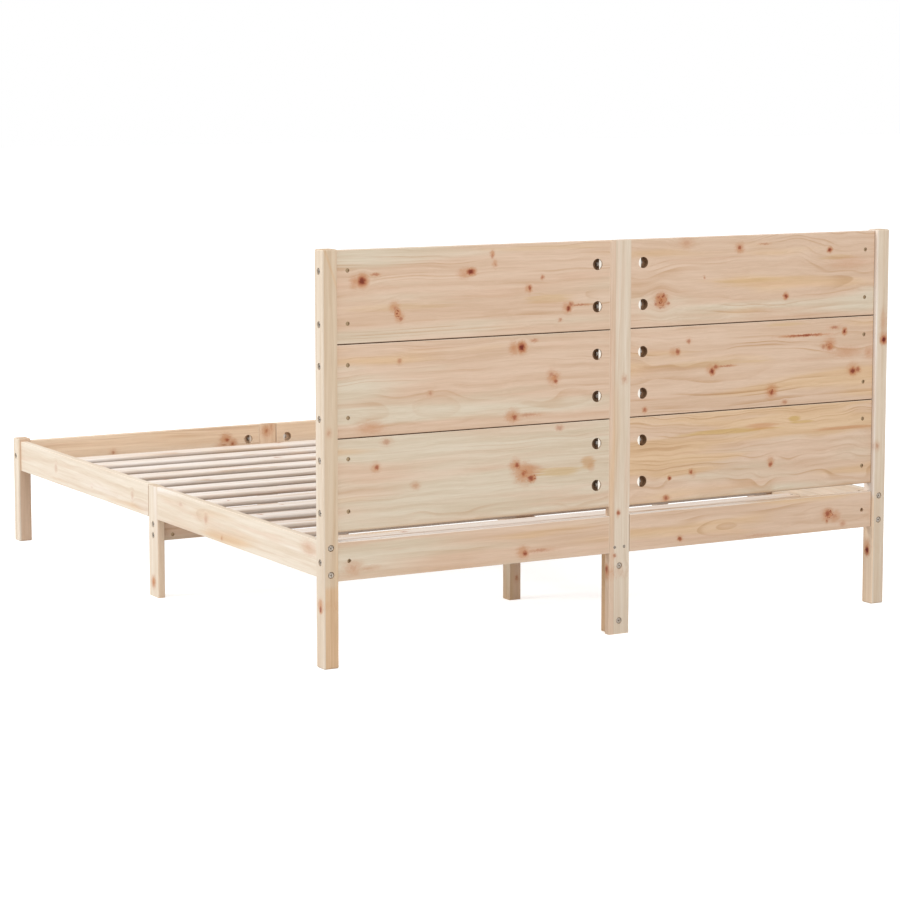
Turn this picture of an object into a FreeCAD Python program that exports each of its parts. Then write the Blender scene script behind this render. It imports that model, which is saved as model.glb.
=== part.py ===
import FreeCAD, Part
import math
import os

# Pine bed frame for a mattress of 1600 mm by 2000 mm, with a headboard of flat boards.
# The origin is on the floor under the middle of the frame. X runs across the bed, Y runs
# along it with the headboard at +Y, and Z points up. All lengths are in millimetres.
# Right and left are as seen from the foot of the bed, so right is +X.

# Whole frame
frame_width = 1655.0
frame_length = 2055.0
post_side = 40.0
middle_post_width = 60.0
head_post_rise = 2.9
foot_post_rise = 9.0

# Rails round the mattress, and the middle posts, which are of the same stock
rail_top_height = 300.0
rail_height = 88.0
rail_thickness = 21.0
head_rail_height = 94.0

# Headboard
board_count = 3
board_height = 220.1
board_thickness = 18.0
board_seam = 1.4
headboard_slot_height = 22.0
headboard_set_back = 1.5

# Slats and what carries them
slat_count = 15
slat_width = 60.0
slat_thickness = 14.0
slat_end_clearance = 2.0
outer_slat_gap = 30.0
ledger_side = 18.0
ledger_end_gap = 44.0
centre_beam_width = 60.0
centre_beam_thickness = 19.0
centre_leg_side = 35.0
centre_leg_spacing = 995.0
cross_beam_height = 60.0
cross_beam_thickness = 21.0

# Eased edges
post_edge_radius = 4.0
board_edge_radius = 2.0
slat_edge_radius = 5.0
widest_edge_share = 0.4

# Bolts with flat heads in recesses, and the barrel nuts that they pull on
bolt_diameter = 6.0
bolt_head_diameter = 14.0
bolt_head_height = 2.2
bolt_head_chamfer = 0.6
bolt_socket_width = 4.0
bolt_socket_depth = 2.6
bolt_recess_depth = 4.0
bolt_recess_clearance = 1.2
bolt_reach = 31.0
bolt_tail = 8.0
cross_bolt_tail = 12.0
leg_bolt_nut_depth = 45.0
leg_bolt_tail = 6.0
barrel_diameter = 10.0
barrel_length = 13.0
barrel_slot_width = 1.6
barrel_slot_depth = 1.2

# Threaded rods that tie the pieces on both sides of a middle post, with half-moon washers
rod_diameter = 6.0
pocket_diameter = 28.0
pocket_reach = 37.0
washer_rise = 8.0
washer_width = 13.0
hex_nut_width = 10.0
hex_nut_height = 5.0

# Screws and dowels
screw_diameter = 4.0
screw_head_diameter = 8.0
screw_head_height = 2.6
screw_point_length = 5.0
screw_cross_width = 1.2
screw_cross_length = 4.4
screw_cross_depth = 1.4
slat_screw_length = 30.0
ledger_screw_length = 30.0
beam_screw_length = 50.0
dowel_diameter = 8.0
dowel_chamfer = 1.0
dowel_depth_in_post = 10.0
dowel_depth_in_rail = 20.0

# Distances from a piece's edge to the bolts, rods, dowels and screws in it
board_bolt_inset = 48.0
board_rod_inset = 58.0
side_bolt_inset = 12.0
rail_dowel_inset = 16.0
head_rail_dowel_inset = 19.0
cross_bolt_inset = 15.0
beam_screw_inset = 15.0
end_screw_share = 0.7
leg_bolt_inset = 34.0
leg_bolt_below_screw = 7.0

# Clearances and the overrun of cutting tools
bore_clearance = 0.4
fit_clearance = 0.15
end_clearance = 0.8
overrun = 1.0

# Planes that several pieces share
frame_half_width = frame_width / 2
frame_half_length = frame_length / 2
post_middle_x = frame_half_width - post_side / 2
post_inner_x = frame_half_width - post_side
post_inner_y = frame_half_length - post_side
head_line_y = frame_half_length - post_side / 2 + headboard_set_back
foot_line_y = post_side / 2 - frame_half_length
board_back_y = head_line_y + board_thickness / 2
board_front_y = head_line_y - board_thickness / 2
head_rail_back_y = board_front_y + rail_thickness
foot_rail_inner_y = foot_line_y + rail_thickness / 2
foot_rail_outer_y = foot_line_y - rail_thickness / 2
side_rail_inner_x = post_middle_x - rail_thickness / 2
side_rail_outer_x = post_middle_x + rail_thickness / 2
half_middle_post = middle_post_width / 2

# Levels that several pieces share
rail_bottom_height = rail_top_height - rail_height
rail_middle_height = rail_top_height - rail_height / 2
head_rail_bottom_height = rail_top_height - head_rail_height
head_rail_middle_height = rail_top_height - head_rail_height / 2
boards_bottom_height = rail_top_height + headboard_slot_height
board_pitch = board_height + board_seam
boards_top_height = boards_bottom_height + board_count * board_pitch - board_seam
slat_bottom_height = rail_bottom_height + ledger_side
slat_top_height = slat_bottom_height + slat_thickness
beam_bottom_height = slat_bottom_height - centre_beam_thickness
beam_middle_height = slat_bottom_height - centre_beam_thickness / 2
cross_beam_bottom_height = beam_bottom_height - cross_beam_height

# Spread of the slats
slat_field = board_front_y - foot_rail_inner_y - 2 * outer_slat_gap - slat_width
slat_pitch = slat_field / (slat_count - 1)
slat_middle_y = (board_front_y + foot_rail_inner_y) / 2

X_AXIS = FreeCAD.Vector(1, 0, 0)
Y_AXIS = FreeCAD.Vector(0, 1, 0)
Z_AXIS = FreeCAD.Vector(0, 0, 1)
SIDES = (("right", 1), ("left", -1))
ENDS = (("head", 1), ("foot", -1))
HEXAGON_SIDES = 6

# Each piece of timber, the tools that cut it, and the solids of each kind of fastener
timber = {}
cuts = {}
fasteners = {}


def point(x, y, z):
    return FreeCAD.Vector(x, y, z)


def block(corner, opposite):
    """A box between two opposite corners, given in any order."""
    start = point(min(corner.x, opposite.x), min(corner.y, opposite.y), min(corner.z, opposite.z))
    size = point(abs(corner.x - opposite.x), abs(corner.y - opposite.y), abs(corner.z - opposite.z))
    return Part.makeBox(size.x, size.y, size.z, start)


def eased(shape, radius, grain=None):
    """Rounds the edges along the grain, or every edge where no grain is given."""
    box = shape.BoundBox
    radius = min(radius, widest_edge_share * min(box.XLength, box.YLength, box.ZLength))
    edges = shape.Edges
    if grain is not None:
        edges = [edge for edge in edges if round(edge.tangentAt(edge.FirstParameter).dot(grain))]
    return shape.makeFillet(radius, edges)


def rod(start, direction, length, diameter):
    return Part.makeCylinder(diameter / 2, length, start, direction)


def hexagon(width, height):
    """A hexagonal prism that stands on the origin, with its width across the flats."""
    corner_radius = width / math.sqrt(3)
    corners = []
    for corner in range(HEXAGON_SIDES + 1):
        turn = 2 * math.pi * corner / HEXAGON_SIDES
        corners.append(point(corner_radius * math.cos(turn), corner_radius * math.sin(turn), 0))
    return Part.Face(Part.makePolygon(corners)).extrude(point(0, 0, height))


def placed(shape, origin, z_axis, x_axis=None):
    """A copy of a shape whose own origin, Z axis and X axis are moved to the given ones."""
    if x_axis is None:
        x_axis = X_AXIS if round(z_axis.z) else Z_AXIS
    y_axis = z_axis.cross(x_axis)
    copy = shape.copy()
    copy.Placement = FreeCAD.Placement(FreeCAD.Matrix(
        x_axis.x, y_axis.x, z_axis.x, origin.x,
        x_axis.y, y_axis.y, z_axis.y, origin.y,
        x_axis.z, y_axis.z, z_axis.z, origin.z,
        0, 0, 0, 1))
    return copy


def add_timber(name, shape):
    timber[name] = shape
    cuts[name] = []


def add_fastener(name, shape):
    fasteners.setdefault(name, []).append(shape)


def board_name(row, side):
    """Headboard boards are numbered from the bottom."""
    return "headboard_board_" + str(row + 1) + "_" + side


def board_middle_height(row):
    return boards_bottom_height + row * board_pitch + board_height / 2


# Fasteners, each on the origin and lying along its own Z axis

def make_bolt(length):
    """A bolt whose head stands on Z = 0 and whose shank runs down to -length."""
    head = Part.makeCylinder(bolt_head_diameter / 2, bolt_head_height)
    rim = [edge for edge in head.Edges if edge.BoundBox.ZMin > bolt_head_height / 2]
    head = head.makeChamfer(bolt_head_chamfer, rim)
    shank = rod(point(0, 0, 0), Z_AXIS * -1, length, bolt_diameter)
    socket = hexagon(bolt_socket_width, bolt_socket_depth)
    socket.translate(point(0, 0, bolt_head_height - bolt_socket_depth))
    return head.fuse(shank).removeSplitter().cut(socket).Solids[0]


def make_barrel_nut():
    """A barrel nut along Z, threaded across along X, with a slot in its +Z end."""
    half_length = barrel_length / 2
    barrel = rod(point(0, 0, -half_length), Z_AXIS, barrel_length, barrel_diameter)
    thread_diameter = bolt_diameter + 2 * fit_clearance
    thread = rod(point(-barrel_diameter, 0, 0), X_AXIS, 2 * barrel_diameter, thread_diameter)
    slot = block(point(-barrel_diameter, -barrel_slot_width / 2, half_length - barrel_slot_depth),
                 point(barrel_diameter, barrel_slot_width / 2, barrel_length))
    return barrel.cut([thread, slot]).Solids[0]


def make_half_moon_washer():
    """A washer that fits the wall of a pocket along Z, on its +X side, bored along X."""
    radius = pocket_diameter / 2 - fit_clearance
    disc = rod(point(0, 0, -washer_width / 2), Z_AXIS, washer_width, 2 * radius)
    kept = block(point(radius - washer_rise, -radius, -washer_width),
                 point(2 * radius, radius, washer_width))
    bore = rod(point(0, 0, 0), X_AXIS, pocket_diameter, rod_diameter + 2 * bore_clearance)
    return disc.common(kept).cut(bore).Solids[0]


def make_hex_nut():
    thread = rod(point(0, 0, 0), Z_AXIS, hex_nut_height, rod_diameter + 2 * fit_clearance)
    return hexagon(hex_nut_width, hex_nut_height).cut(thread)


def make_screw(length):
    """A countersunk screw that is driven along +Z, with the top of its head on Z = 0."""
    head = Part.makeCone(screw_head_diameter / 2, screw_diameter / 2, screw_head_height)
    point_start = length - screw_point_length
    shank = rod(point(0, 0, screw_head_height), Z_AXIS, point_start - screw_head_height, screw_diameter)
    tip = Part.makeCone(screw_diameter / 2, 0, screw_point_length, point(0, 0, point_start))
    half_length = screw_cross_length / 2
    half_width = screw_cross_width / 2
    cross = [block(point(-half_length, -half_width, 0), point(half_length, half_width, screw_cross_depth)),
             block(point(-half_width, -half_length, 0), point(half_width, half_length, screw_cross_depth))]
    return head.fuse([shank, tip]).removeSplitter().cut(cross).Solids[0]


def make_dowel():
    """A dowel along Z whose Z = 0 plane lies on the joint, with its rail end at +Z."""
    start = point(0, 0, -dowel_depth_in_post)
    dowel = rod(start, Z_AXIS, dowel_depth_in_post + dowel_depth_in_rail, dowel_diameter)
    return dowel.makeChamfer(dowel_chamfer, [edge for edge in dowel.Edges if len(edge.Vertexes) == 1])


BARREL_NUT = make_barrel_nut()
HALF_MOON_WASHER = make_half_moon_washer()
HEX_NUT = make_hex_nut()
DOWEL = make_dowel()


# Joints, which cut the pieces that they hold and add their fasteners

def bolt_joint(node, outer, inner, seat, drive, thickness, reach, tail, nut_axis, nut_cover):
    """A bolt through the outer piece to a barrel nut inside the inner one.

    seat is the bolt's place on the outer face, drive its direction and thickness the
    outer piece's depth there. The barrel nut lies reach beyond that depth, and the bolt
    ends tail beyond the nut's middle. The nut goes in against nut_axis, and nut_cover is
    the distance from its middle to the open end of its hole.
    """
    under_head = seat + drive * bolt_recess_depth
    length = thickness + reach + tail - bolt_recess_depth
    recess_diameter = bolt_head_diameter + 2 * bolt_recess_clearance
    recess = rod(seat - drive * overrun, drive, bolt_recess_depth + overrun, recess_diameter)
    bore = rod(under_head, drive, length + end_clearance, bolt_diameter + 2 * bore_clearance)
    nut_middle = seat + drive * (thickness + reach)
    nut_hole_depth = nut_cover + overrun + barrel_length / 2 + end_clearance
    nut_hole = rod(nut_middle + nut_axis * (nut_cover + overrun), nut_axis * -1, nut_hole_depth,
                   barrel_diameter + 2 * fit_clearance)
    cuts[outer] += [recess, bore]
    cuts[inner] += [bore, nut_hole]
    add_fastener(node, placed(make_bolt(length), under_head, drive * -1))
    add_fastener("barrel_nuts", placed(BARREL_NUT, nut_middle, nut_axis, drive))


def tie_joint(post, pieces, centre, run, pocket_axis, cover):
    """A threaded rod through a middle post, with a nut and washer in a pocket on each side.

    pieces are the ones on the -run and +run sides. The pockets open along pocket_axis,
    and cover is the distance from the rod's middle line to their open face.
    """
    half_length = half_middle_post + pocket_reach
    start = centre - run * half_length
    cuts[post].append(rod(start, run, 2 * half_length, rod_diameter + 2 * bore_clearance))
    add_fastener("tie_rods", rod(start, run, 2 * half_length, rod_diameter))
    pocket_depth = cover + overrun + washer_width / 2 + fit_clearance
    washer_flat = pocket_diameter / 2 - fit_clearance - washer_rise
    for piece, outward in zip(pieces, (run * -1, run)):
        middle = centre + outward * half_length
        mouth = middle + pocket_axis * (cover + overrun)
        pocket = rod(mouth, pocket_axis * -1, pocket_depth, pocket_diameter)
        bore = rod(centre, outward, half_length, rod_diameter + 2 * bore_clearance)
        cuts[piece] += [pocket, bore]
        add_fastener("half_moon_washers", placed(HALF_MOON_WASHER, middle, pocket_axis, outward * -1))
        nut_seat = middle - outward * washer_flat
        add_fastener("tie_rod_nuts", placed(HEX_NUT, nut_seat, outward, pocket_axis))


def dowel_joint(post, rail, place, into_rail):
    start = place - into_rail * (dowel_depth_in_post + end_clearance)
    depth = dowel_depth_in_post + dowel_depth_in_rail + 2 * end_clearance
    hole = rod(start, into_rail, depth, dowel_diameter + 2 * fit_clearance)
    cuts[post].append(hole)
    cuts[rail].append(hole)
    add_fastener("dowels", placed(DOWEL, place, into_rail))


def screw_joint(node, outer, inner, seat, drive, length):
    bore = rod(seat, drive, length + end_clearance, screw_diameter + 2 * fit_clearance)
    sink = Part.makeCone(screw_head_diameter / 2 + fit_clearance, screw_diameter / 2 + fit_clearance,
                         screw_head_height, seat, drive)
    cuts[outer] += [bore, sink]
    cuts[inner].append(bore)
    add_fastener(node, placed(make_screw(length), seat, drive))


# Timber

def add_corner_posts():
    heights = {"head": boards_top_height + head_post_rise, "foot": rail_top_height + foot_post_rise}
    for side, sign in SIDES:
        for end, end_sign in ENDS:
            outer_corner = point(sign * frame_half_width, end_sign * frame_half_length, 0)
            inner_corner = point(sign * post_inner_x, end_sign * post_inner_y, heights[end])
            add_timber(end + "_post_" + side, eased(block(outer_corner, inner_corner), post_edge_radius))


def add_middle_posts():
    head = block(point(-half_middle_post, board_front_y, 0),
                 point(half_middle_post, head_rail_back_y, boards_top_height))
    add_timber("middle_head_post", eased(head, post_edge_radius, Z_AXIS))
    foot = block(point(-half_middle_post, foot_rail_outer_y, 0),
                 point(half_middle_post, foot_rail_inner_y, rail_top_height))
    add_timber("middle_foot_post", eased(foot, post_edge_radius, Z_AXIS))
    for side, sign in SIDES:
        post = block(point(sign * side_rail_inner_x, -half_middle_post, 0),
                     point(sign * side_rail_outer_x, half_middle_post, rail_top_height))
        add_timber("middle_side_post_" + side, eased(post, post_edge_radius, Z_AXIS))


def add_headboard():
    for side, sign in SIDES:
        for row in range(board_count):
            bottom = boards_bottom_height + row * board_pitch
            board = block(point(sign * half_middle_post, board_front_y, bottom),
                          point(sign * post_inner_x, board_back_y, bottom + board_height))
            add_timber(board_name(row, side), eased(board, board_edge_radius, X_AXIS))
        rail = block(point(sign * half_middle_post, board_front_y, head_rail_bottom_height),
                     point(sign * post_inner_x, head_rail_back_y, rail_top_height))
        add_timber("head_rail_" + side, eased(rail, board_edge_radius, X_AXIS))


def add_foot_and_side_rails():
    for side, sign in SIDES:
        rail = block(point(sign * half_middle_post, foot_rail_outer_y, rail_bottom_height),
                     point(sign * post_inner_x, foot_rail_inner_y, rail_top_height))
        add_timber("foot_rail_" + side, eased(rail, board_edge_radius, X_AXIS))
        for end, end_sign in ENDS:
            rail = block(point(sign * side_rail_inner_x, end_sign * half_middle_post, rail_bottom_height),
                         point(sign * side_rail_outer_x, end_sign * post_inner_y, rail_top_height))
            add_timber("side_rail_" + side + "_" + end, eased(rail, board_edge_radius, Y_AXIS))


def add_ledgers():
    half_length = post_inner_y - ledger_end_gap
    for side, sign in SIDES:
        ledger = block(point(sign * side_rail_inner_x, -half_length, rail_bottom_height),
                       point(sign * (side_rail_inner_x - ledger_side), half_length, slat_bottom_height))
        add_timber("slat_ledger_" + side, eased(ledger, board_edge_radius, Y_AXIS))


def add_beams():
    cross_beam = block(point(-side_rail_inner_x, -cross_beam_thickness / 2, cross_beam_bottom_height),
                       point(side_rail_inner_x, cross_beam_thickness / 2, beam_bottom_height))
    add_timber("cross_beam", eased(cross_beam, board_edge_radius, X_AXIS))
    centre_beam = block(point(-centre_beam_width / 2, foot_rail_inner_y, beam_bottom_height),
                        point(centre_beam_width / 2, board_front_y, slat_bottom_height))
    add_timber("centre_beam", eased(centre_beam, board_edge_radius, Y_AXIS))


def add_centre_legs():
    half_side = centre_leg_side / 2
    places = {"centre_leg_at_headboard": board_front_y - half_side,
              "centre_leg_towards_head": centre_leg_spacing / 2,
              "centre_leg_towards_foot": -centre_leg_spacing / 2,
              "centre_leg_at_foot_rail": foot_rail_inner_y + half_side}
    for name, middle_y in places.items():
        leg = block(point(-half_side, middle_y - half_side, 0),
                    point(half_side, middle_y + half_side, beam_bottom_height))
        add_timber(name, eased(leg, board_edge_radius, Z_AXIS))
        seat = point(0, middle_y, slat_bottom_height)
        screw_joint("beam_screws", "centre_beam", name, seat, Z_AXIS * -1, beam_screw_length)


def add_slats():
    half_length = side_rail_inner_x - slat_end_clearance
    screw_x = side_rail_inner_x - ledger_side / 2
    for number in range(slat_count):
        name = "slat_" + str(number + 1).zfill(2)
        middle_y = slat_middle_y - slat_field / 2 + number * slat_pitch
        slat = block(point(-half_length, middle_y - slat_width / 2, slat_bottom_height),
                     point(half_length, middle_y + slat_width / 2, slat_top_height))
        add_timber(name, eased(slat, slat_edge_radius, X_AXIS))
        for side, sign in SIDES:
            seat = point(sign * screw_x, middle_y, slat_top_height)
            screw_joint("slat_screws", name, "slat_ledger_" + side, seat, Z_AXIS * -1, slat_screw_length)


# Joints between the pieces of timber

def join_headboard():
    board_cover = board_thickness / 2
    rail_cover = head_rail_back_y - head_line_y
    board_bolt_offset = board_height / 2 - board_bolt_inset
    dowel_offset = head_rail_height / 2 - head_rail_dowel_inset
    for side, sign in SIDES:
        post = "head_post_" + side
        rail = "head_rail_" + side
        bolted = [(rail, head_rail_middle_height, rail_cover)]
        for row in range(board_count):
            for offset in (-board_bolt_offset, board_bolt_offset):
                bolted.append((board_name(row, side), board_middle_height(row) + offset, board_cover))
        for piece, height, cover in bolted:
            seat = point(sign * frame_half_width, head_line_y, height)
            bolt_joint("post_bolts", post, piece, seat, X_AXIS * -sign, post_side, bolt_reach, bolt_tail,
                       Y_AXIS, cover)
        for offset in (-dowel_offset, dowel_offset):
            height = head_rail_middle_height + offset
            dowel_joint(post, rail, point(sign * post_inner_x, head_line_y, height), X_AXIS * -sign)
            dowel_joint("middle_head_post", rail, point(sign * half_middle_post, head_line_y, height),
                        X_AXIS * sign)


def tie_headboard():
    cover = board_thickness / 2
    rod_offset = board_height / 2 - board_rod_inset
    for row in range(board_count):
        boards = [board_name(row, "left"), board_name(row, "right")]
        for offset in (-rod_offset, rod_offset):
            centre = point(0, head_line_y, board_middle_height(row) + offset)
            tie_joint("middle_head_post", boards, centre, X_AXIS, Y_AXIS, cover)
    centre = point(0, head_line_y, head_rail_middle_height)
    rails = ["head_rail_left", "head_rail_right"]
    tie_joint("middle_head_post", rails, centre, X_AXIS, Y_AXIS * -1, cover)


def join_foot_rails():
    cover = rail_thickness / 2
    dowel_offset = rail_height / 2 - rail_dowel_inset
    for side, sign in SIDES:
        post = "foot_post_" + side
        rail = "foot_rail_" + side
        seat = point(sign * frame_half_width, foot_line_y, rail_middle_height)
        bolt_joint("post_bolts", post, rail, seat, X_AXIS * -sign, post_side, bolt_reach, bolt_tail,
                   Y_AXIS, cover)
        for offset in (-dowel_offset, dowel_offset):
            height = rail_middle_height + offset
            dowel_joint(post, rail, point(sign * post_inner_x, foot_line_y, height), X_AXIS * -sign)
            dowel_joint("middle_foot_post", rail, point(sign * half_middle_post, foot_line_y, height),
                        X_AXIS * sign)
    centre = point(0, foot_line_y, rail_middle_height)
    tie_joint("middle_foot_post", ["foot_rail_left", "foot_rail_right"], centre, X_AXIS, Y_AXIS, cover)


def join_side_rails():
    cover = rail_thickness / 2
    bolt_offset = rail_height / 2 - side_bolt_inset
    dowel_offset = rail_height / 2 - rail_dowel_inset
    for side, sign in SIDES:
        middle_post = "middle_side_post_" + side
        inwards = X_AXIS * -sign
        for end, end_sign in ENDS:
            rail = "side_rail_" + side + "_" + end
            for offset in (-bolt_offset, bolt_offset):
                seat = point(sign * post_middle_x, end_sign * frame_half_length, rail_middle_height + offset)
                bolt_joint("post_bolts", end + "_post_" + side, rail, seat, Y_AXIS * -end_sign, post_side,
                           bolt_reach, bolt_tail, inwards, cover)
            for offset in (-dowel_offset, dowel_offset):
                place = point(sign * post_middle_x, end_sign * half_middle_post, rail_middle_height + offset)
                dowel_joint(middle_post, rail, place, Y_AXIS * end_sign)
        centre = point(sign * post_middle_x, 0, rail_middle_height)
        rails = ["side_rail_" + side + "_foot", "side_rail_" + side + "_head"]
        tie_joint(middle_post, rails, centre, Y_AXIS, inwards, cover)


def join_cross_beam():
    low = cross_beam_bottom_height + cross_bolt_inset
    high = beam_bottom_height - cross_bolt_inset
    for side, sign in SIDES:
        for height in (low, high):
            seat = point(sign * side_rail_outer_x, 0, height)
            bolt_joint("cross_beam_bolts", "middle_side_post_" + side, "cross_beam", seat, X_AXIS * -sign,
                       rail_thickness, bolt_reach, cross_bolt_tail, Y_AXIS, cross_beam_thickness / 2)


def join_centre_beam():
    cross_offset = centre_beam_width / 2 - beam_screw_inset
    end_offset = (half_middle_post - dowel_depth_in_post) * end_screw_share
    for side, sign in SIDES:
        seat = point(sign * cross_offset, 0, slat_bottom_height)
        screw_joint("beam_screws", "centre_beam", "cross_beam", seat, Z_AXIS * -1, beam_screw_length)
        for post, face_y, drive in (("middle_head_post", head_rail_back_y, Y_AXIS * -1),
                                    ("middle_foot_post", foot_rail_outer_y, Y_AXIS)):
            seat = point(sign * end_offset, face_y, beam_middle_height)
            screw_joint("beam_screws", post, "centre_beam", seat, drive, beam_screw_length)


def join_ledgers():
    """Screws each ledger to its side rail, in every second gap between the slats."""
    height = rail_bottom_height + ledger_side / 2
    for side, sign in SIDES:
        for end, end_sign in ENDS:
            for gap in range(0, slat_count // 2, 2):
                place_y = slat_middle_y + end_sign * (gap * slat_pitch + slat_pitch / 2)
                seat = point(sign * (side_rail_inner_x - ledger_side), place_y, height)
                screw_joint("ledger_screws", "slat_ledger_" + side, "side_rail_" + side + "_" + end, seat,
                            X_AXIS * sign, ledger_screw_length)


def join_end_legs():
    """Bolts the legs at both ends of the centre beam to the middle posts behind them."""
    high = slat_bottom_height - beam_screw_length - leg_bolt_below_screw
    ends = (("middle_head_post", "centre_leg_at_headboard", head_rail_back_y, Y_AXIS * -1),
            ("middle_foot_post", "centre_leg_at_foot_rail", foot_rail_outer_y, Y_AXIS))
    for post, leg, face_y, drive in ends:
        for height in (leg_bolt_inset, high):
            bolt_joint("leg_bolts", post, leg, point(0, face_y, height), drive, rail_thickness,
                       leg_bolt_nut_depth - rail_thickness, leg_bolt_tail, X_AXIS * -1, centre_leg_side / 2)


def write_parts():
    """Cuts each piece of timber and writes one STEP file for each node."""
    os.makedirs("parts", exist_ok=True)
    for name, shape in timber.items():
        if cuts[name]:
            shape = shape.cut(cuts[name])
        if len(shape.Solids) != 1:
            raise ValueError(name + " is not one solid")
        shape.Solids[0].exportStep("parts/" + name + ".step")
    for name, solids in fasteners.items():
        Part.makeCompound(solids).exportStep("parts/" + name + ".step")
    fastener_count = sum(len(solids) for solids in fasteners.values())
    print(len(timber), "pieces of timber and", fastener_count, "fasteners of", len(fasteners), "kinds")


add_corner_posts()
add_middle_posts()
add_headboard()
add_foot_and_side_rails()
add_ledgers()
add_beams()
add_centre_legs()
add_slats()
join_headboard()
tie_headboard()
join_foot_rails()
join_side_rails()
join_cross_beam()
join_centre_beam()
join_ledgers()
join_end_legs()
write_parts()
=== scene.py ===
import math
import random

import bpy
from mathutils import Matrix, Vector


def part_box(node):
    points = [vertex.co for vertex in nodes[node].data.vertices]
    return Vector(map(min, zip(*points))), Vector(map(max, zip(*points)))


bl_info = {
    "name": "Pine bed frame",
    "version": (1, 0, 0),
    "blender": (4, 5, 0),
    "location": "3D View > Sidebar > Bed frame",
    "description": "Gives a knock-down pine bed frame its wood, steel and studio",
    "category": "Object",
}

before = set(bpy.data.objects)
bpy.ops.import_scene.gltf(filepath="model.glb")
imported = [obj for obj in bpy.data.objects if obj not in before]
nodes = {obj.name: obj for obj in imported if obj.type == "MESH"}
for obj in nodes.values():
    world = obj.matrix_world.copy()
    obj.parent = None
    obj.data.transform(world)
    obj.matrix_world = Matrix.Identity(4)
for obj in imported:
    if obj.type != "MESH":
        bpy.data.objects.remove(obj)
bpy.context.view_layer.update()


# Where each piece of timber lies: along its grain, across its wide face, and through its thickness

ALONG_BED_WIDTH = ("X", "Z", "Y")
ALONG_BED_LENGTH = ("Y", "Z", "X")
UPRIGHT_TO_HEAD = ("Z", "X", "Y")
UPRIGHT_TO_SIDE = ("Z", "Y", "X")
FLAT_ALONG_WIDTH = ("X", "Y", "Z")
FLAT_ALONG_LENGTH = ("Y", "X", "Z")

SIDES = ("right", "left")
ENDS = ("head", "foot")
ROWS = (3, 2, 1)

HEADBOARD_BOARDS = {f"headboard_board_{row}_{side}": ALONG_BED_WIDTH for side in SIDES for row in ROWS}

RAILS = {f"{end}_rail_{side}": ALONG_BED_WIDTH for end in ENDS for side in SIDES}
RAILS.update({f"side_rail_{side}_{end}": ALONG_BED_LENGTH for side in SIDES for end in ENDS})

BEAMS = {
    "slat_ledger_right": FLAT_ALONG_LENGTH,
    "slat_ledger_left": FLAT_ALONG_LENGTH,
    "centre_beam": FLAT_ALONG_LENGTH,
    "cross_beam": ALONG_BED_WIDTH,
}

POSTS = {f"{end}_post_{side}": UPRIGHT_TO_HEAD for end in ENDS for side in SIDES}
POSTS.update({f"middle_{end}_post": UPRIGHT_TO_HEAD for end in ENDS})
POSTS.update({f"middle_side_post_{side}": UPRIGHT_TO_SIDE for side in SIDES})
POSTS.update({"centre_leg_" + place: UPRIGHT_TO_HEAD
              for place in ("at_headboard", "towards_head", "towards_foot", "at_foot_rail")})

SLATS = {"slat_%02d" % number: FLAT_ALONG_WIDTH for number in range(1, 16)}


# The number of each group's first piece. A piece's number seeds its random wood

FIRST_BOARD = 1
FIRST_RAIL = 11
FIRST_BEAM = 31
FIRST_POST = 41
FIRST_SLAT = 61

# Knots: along the grain, across it, core radius, stretch along the grain, core strength,
# glow strength, glow radius, and how far the glow lies from the core along and across the grain. What a
# row leaves out at its end is as in the usual knot

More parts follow.
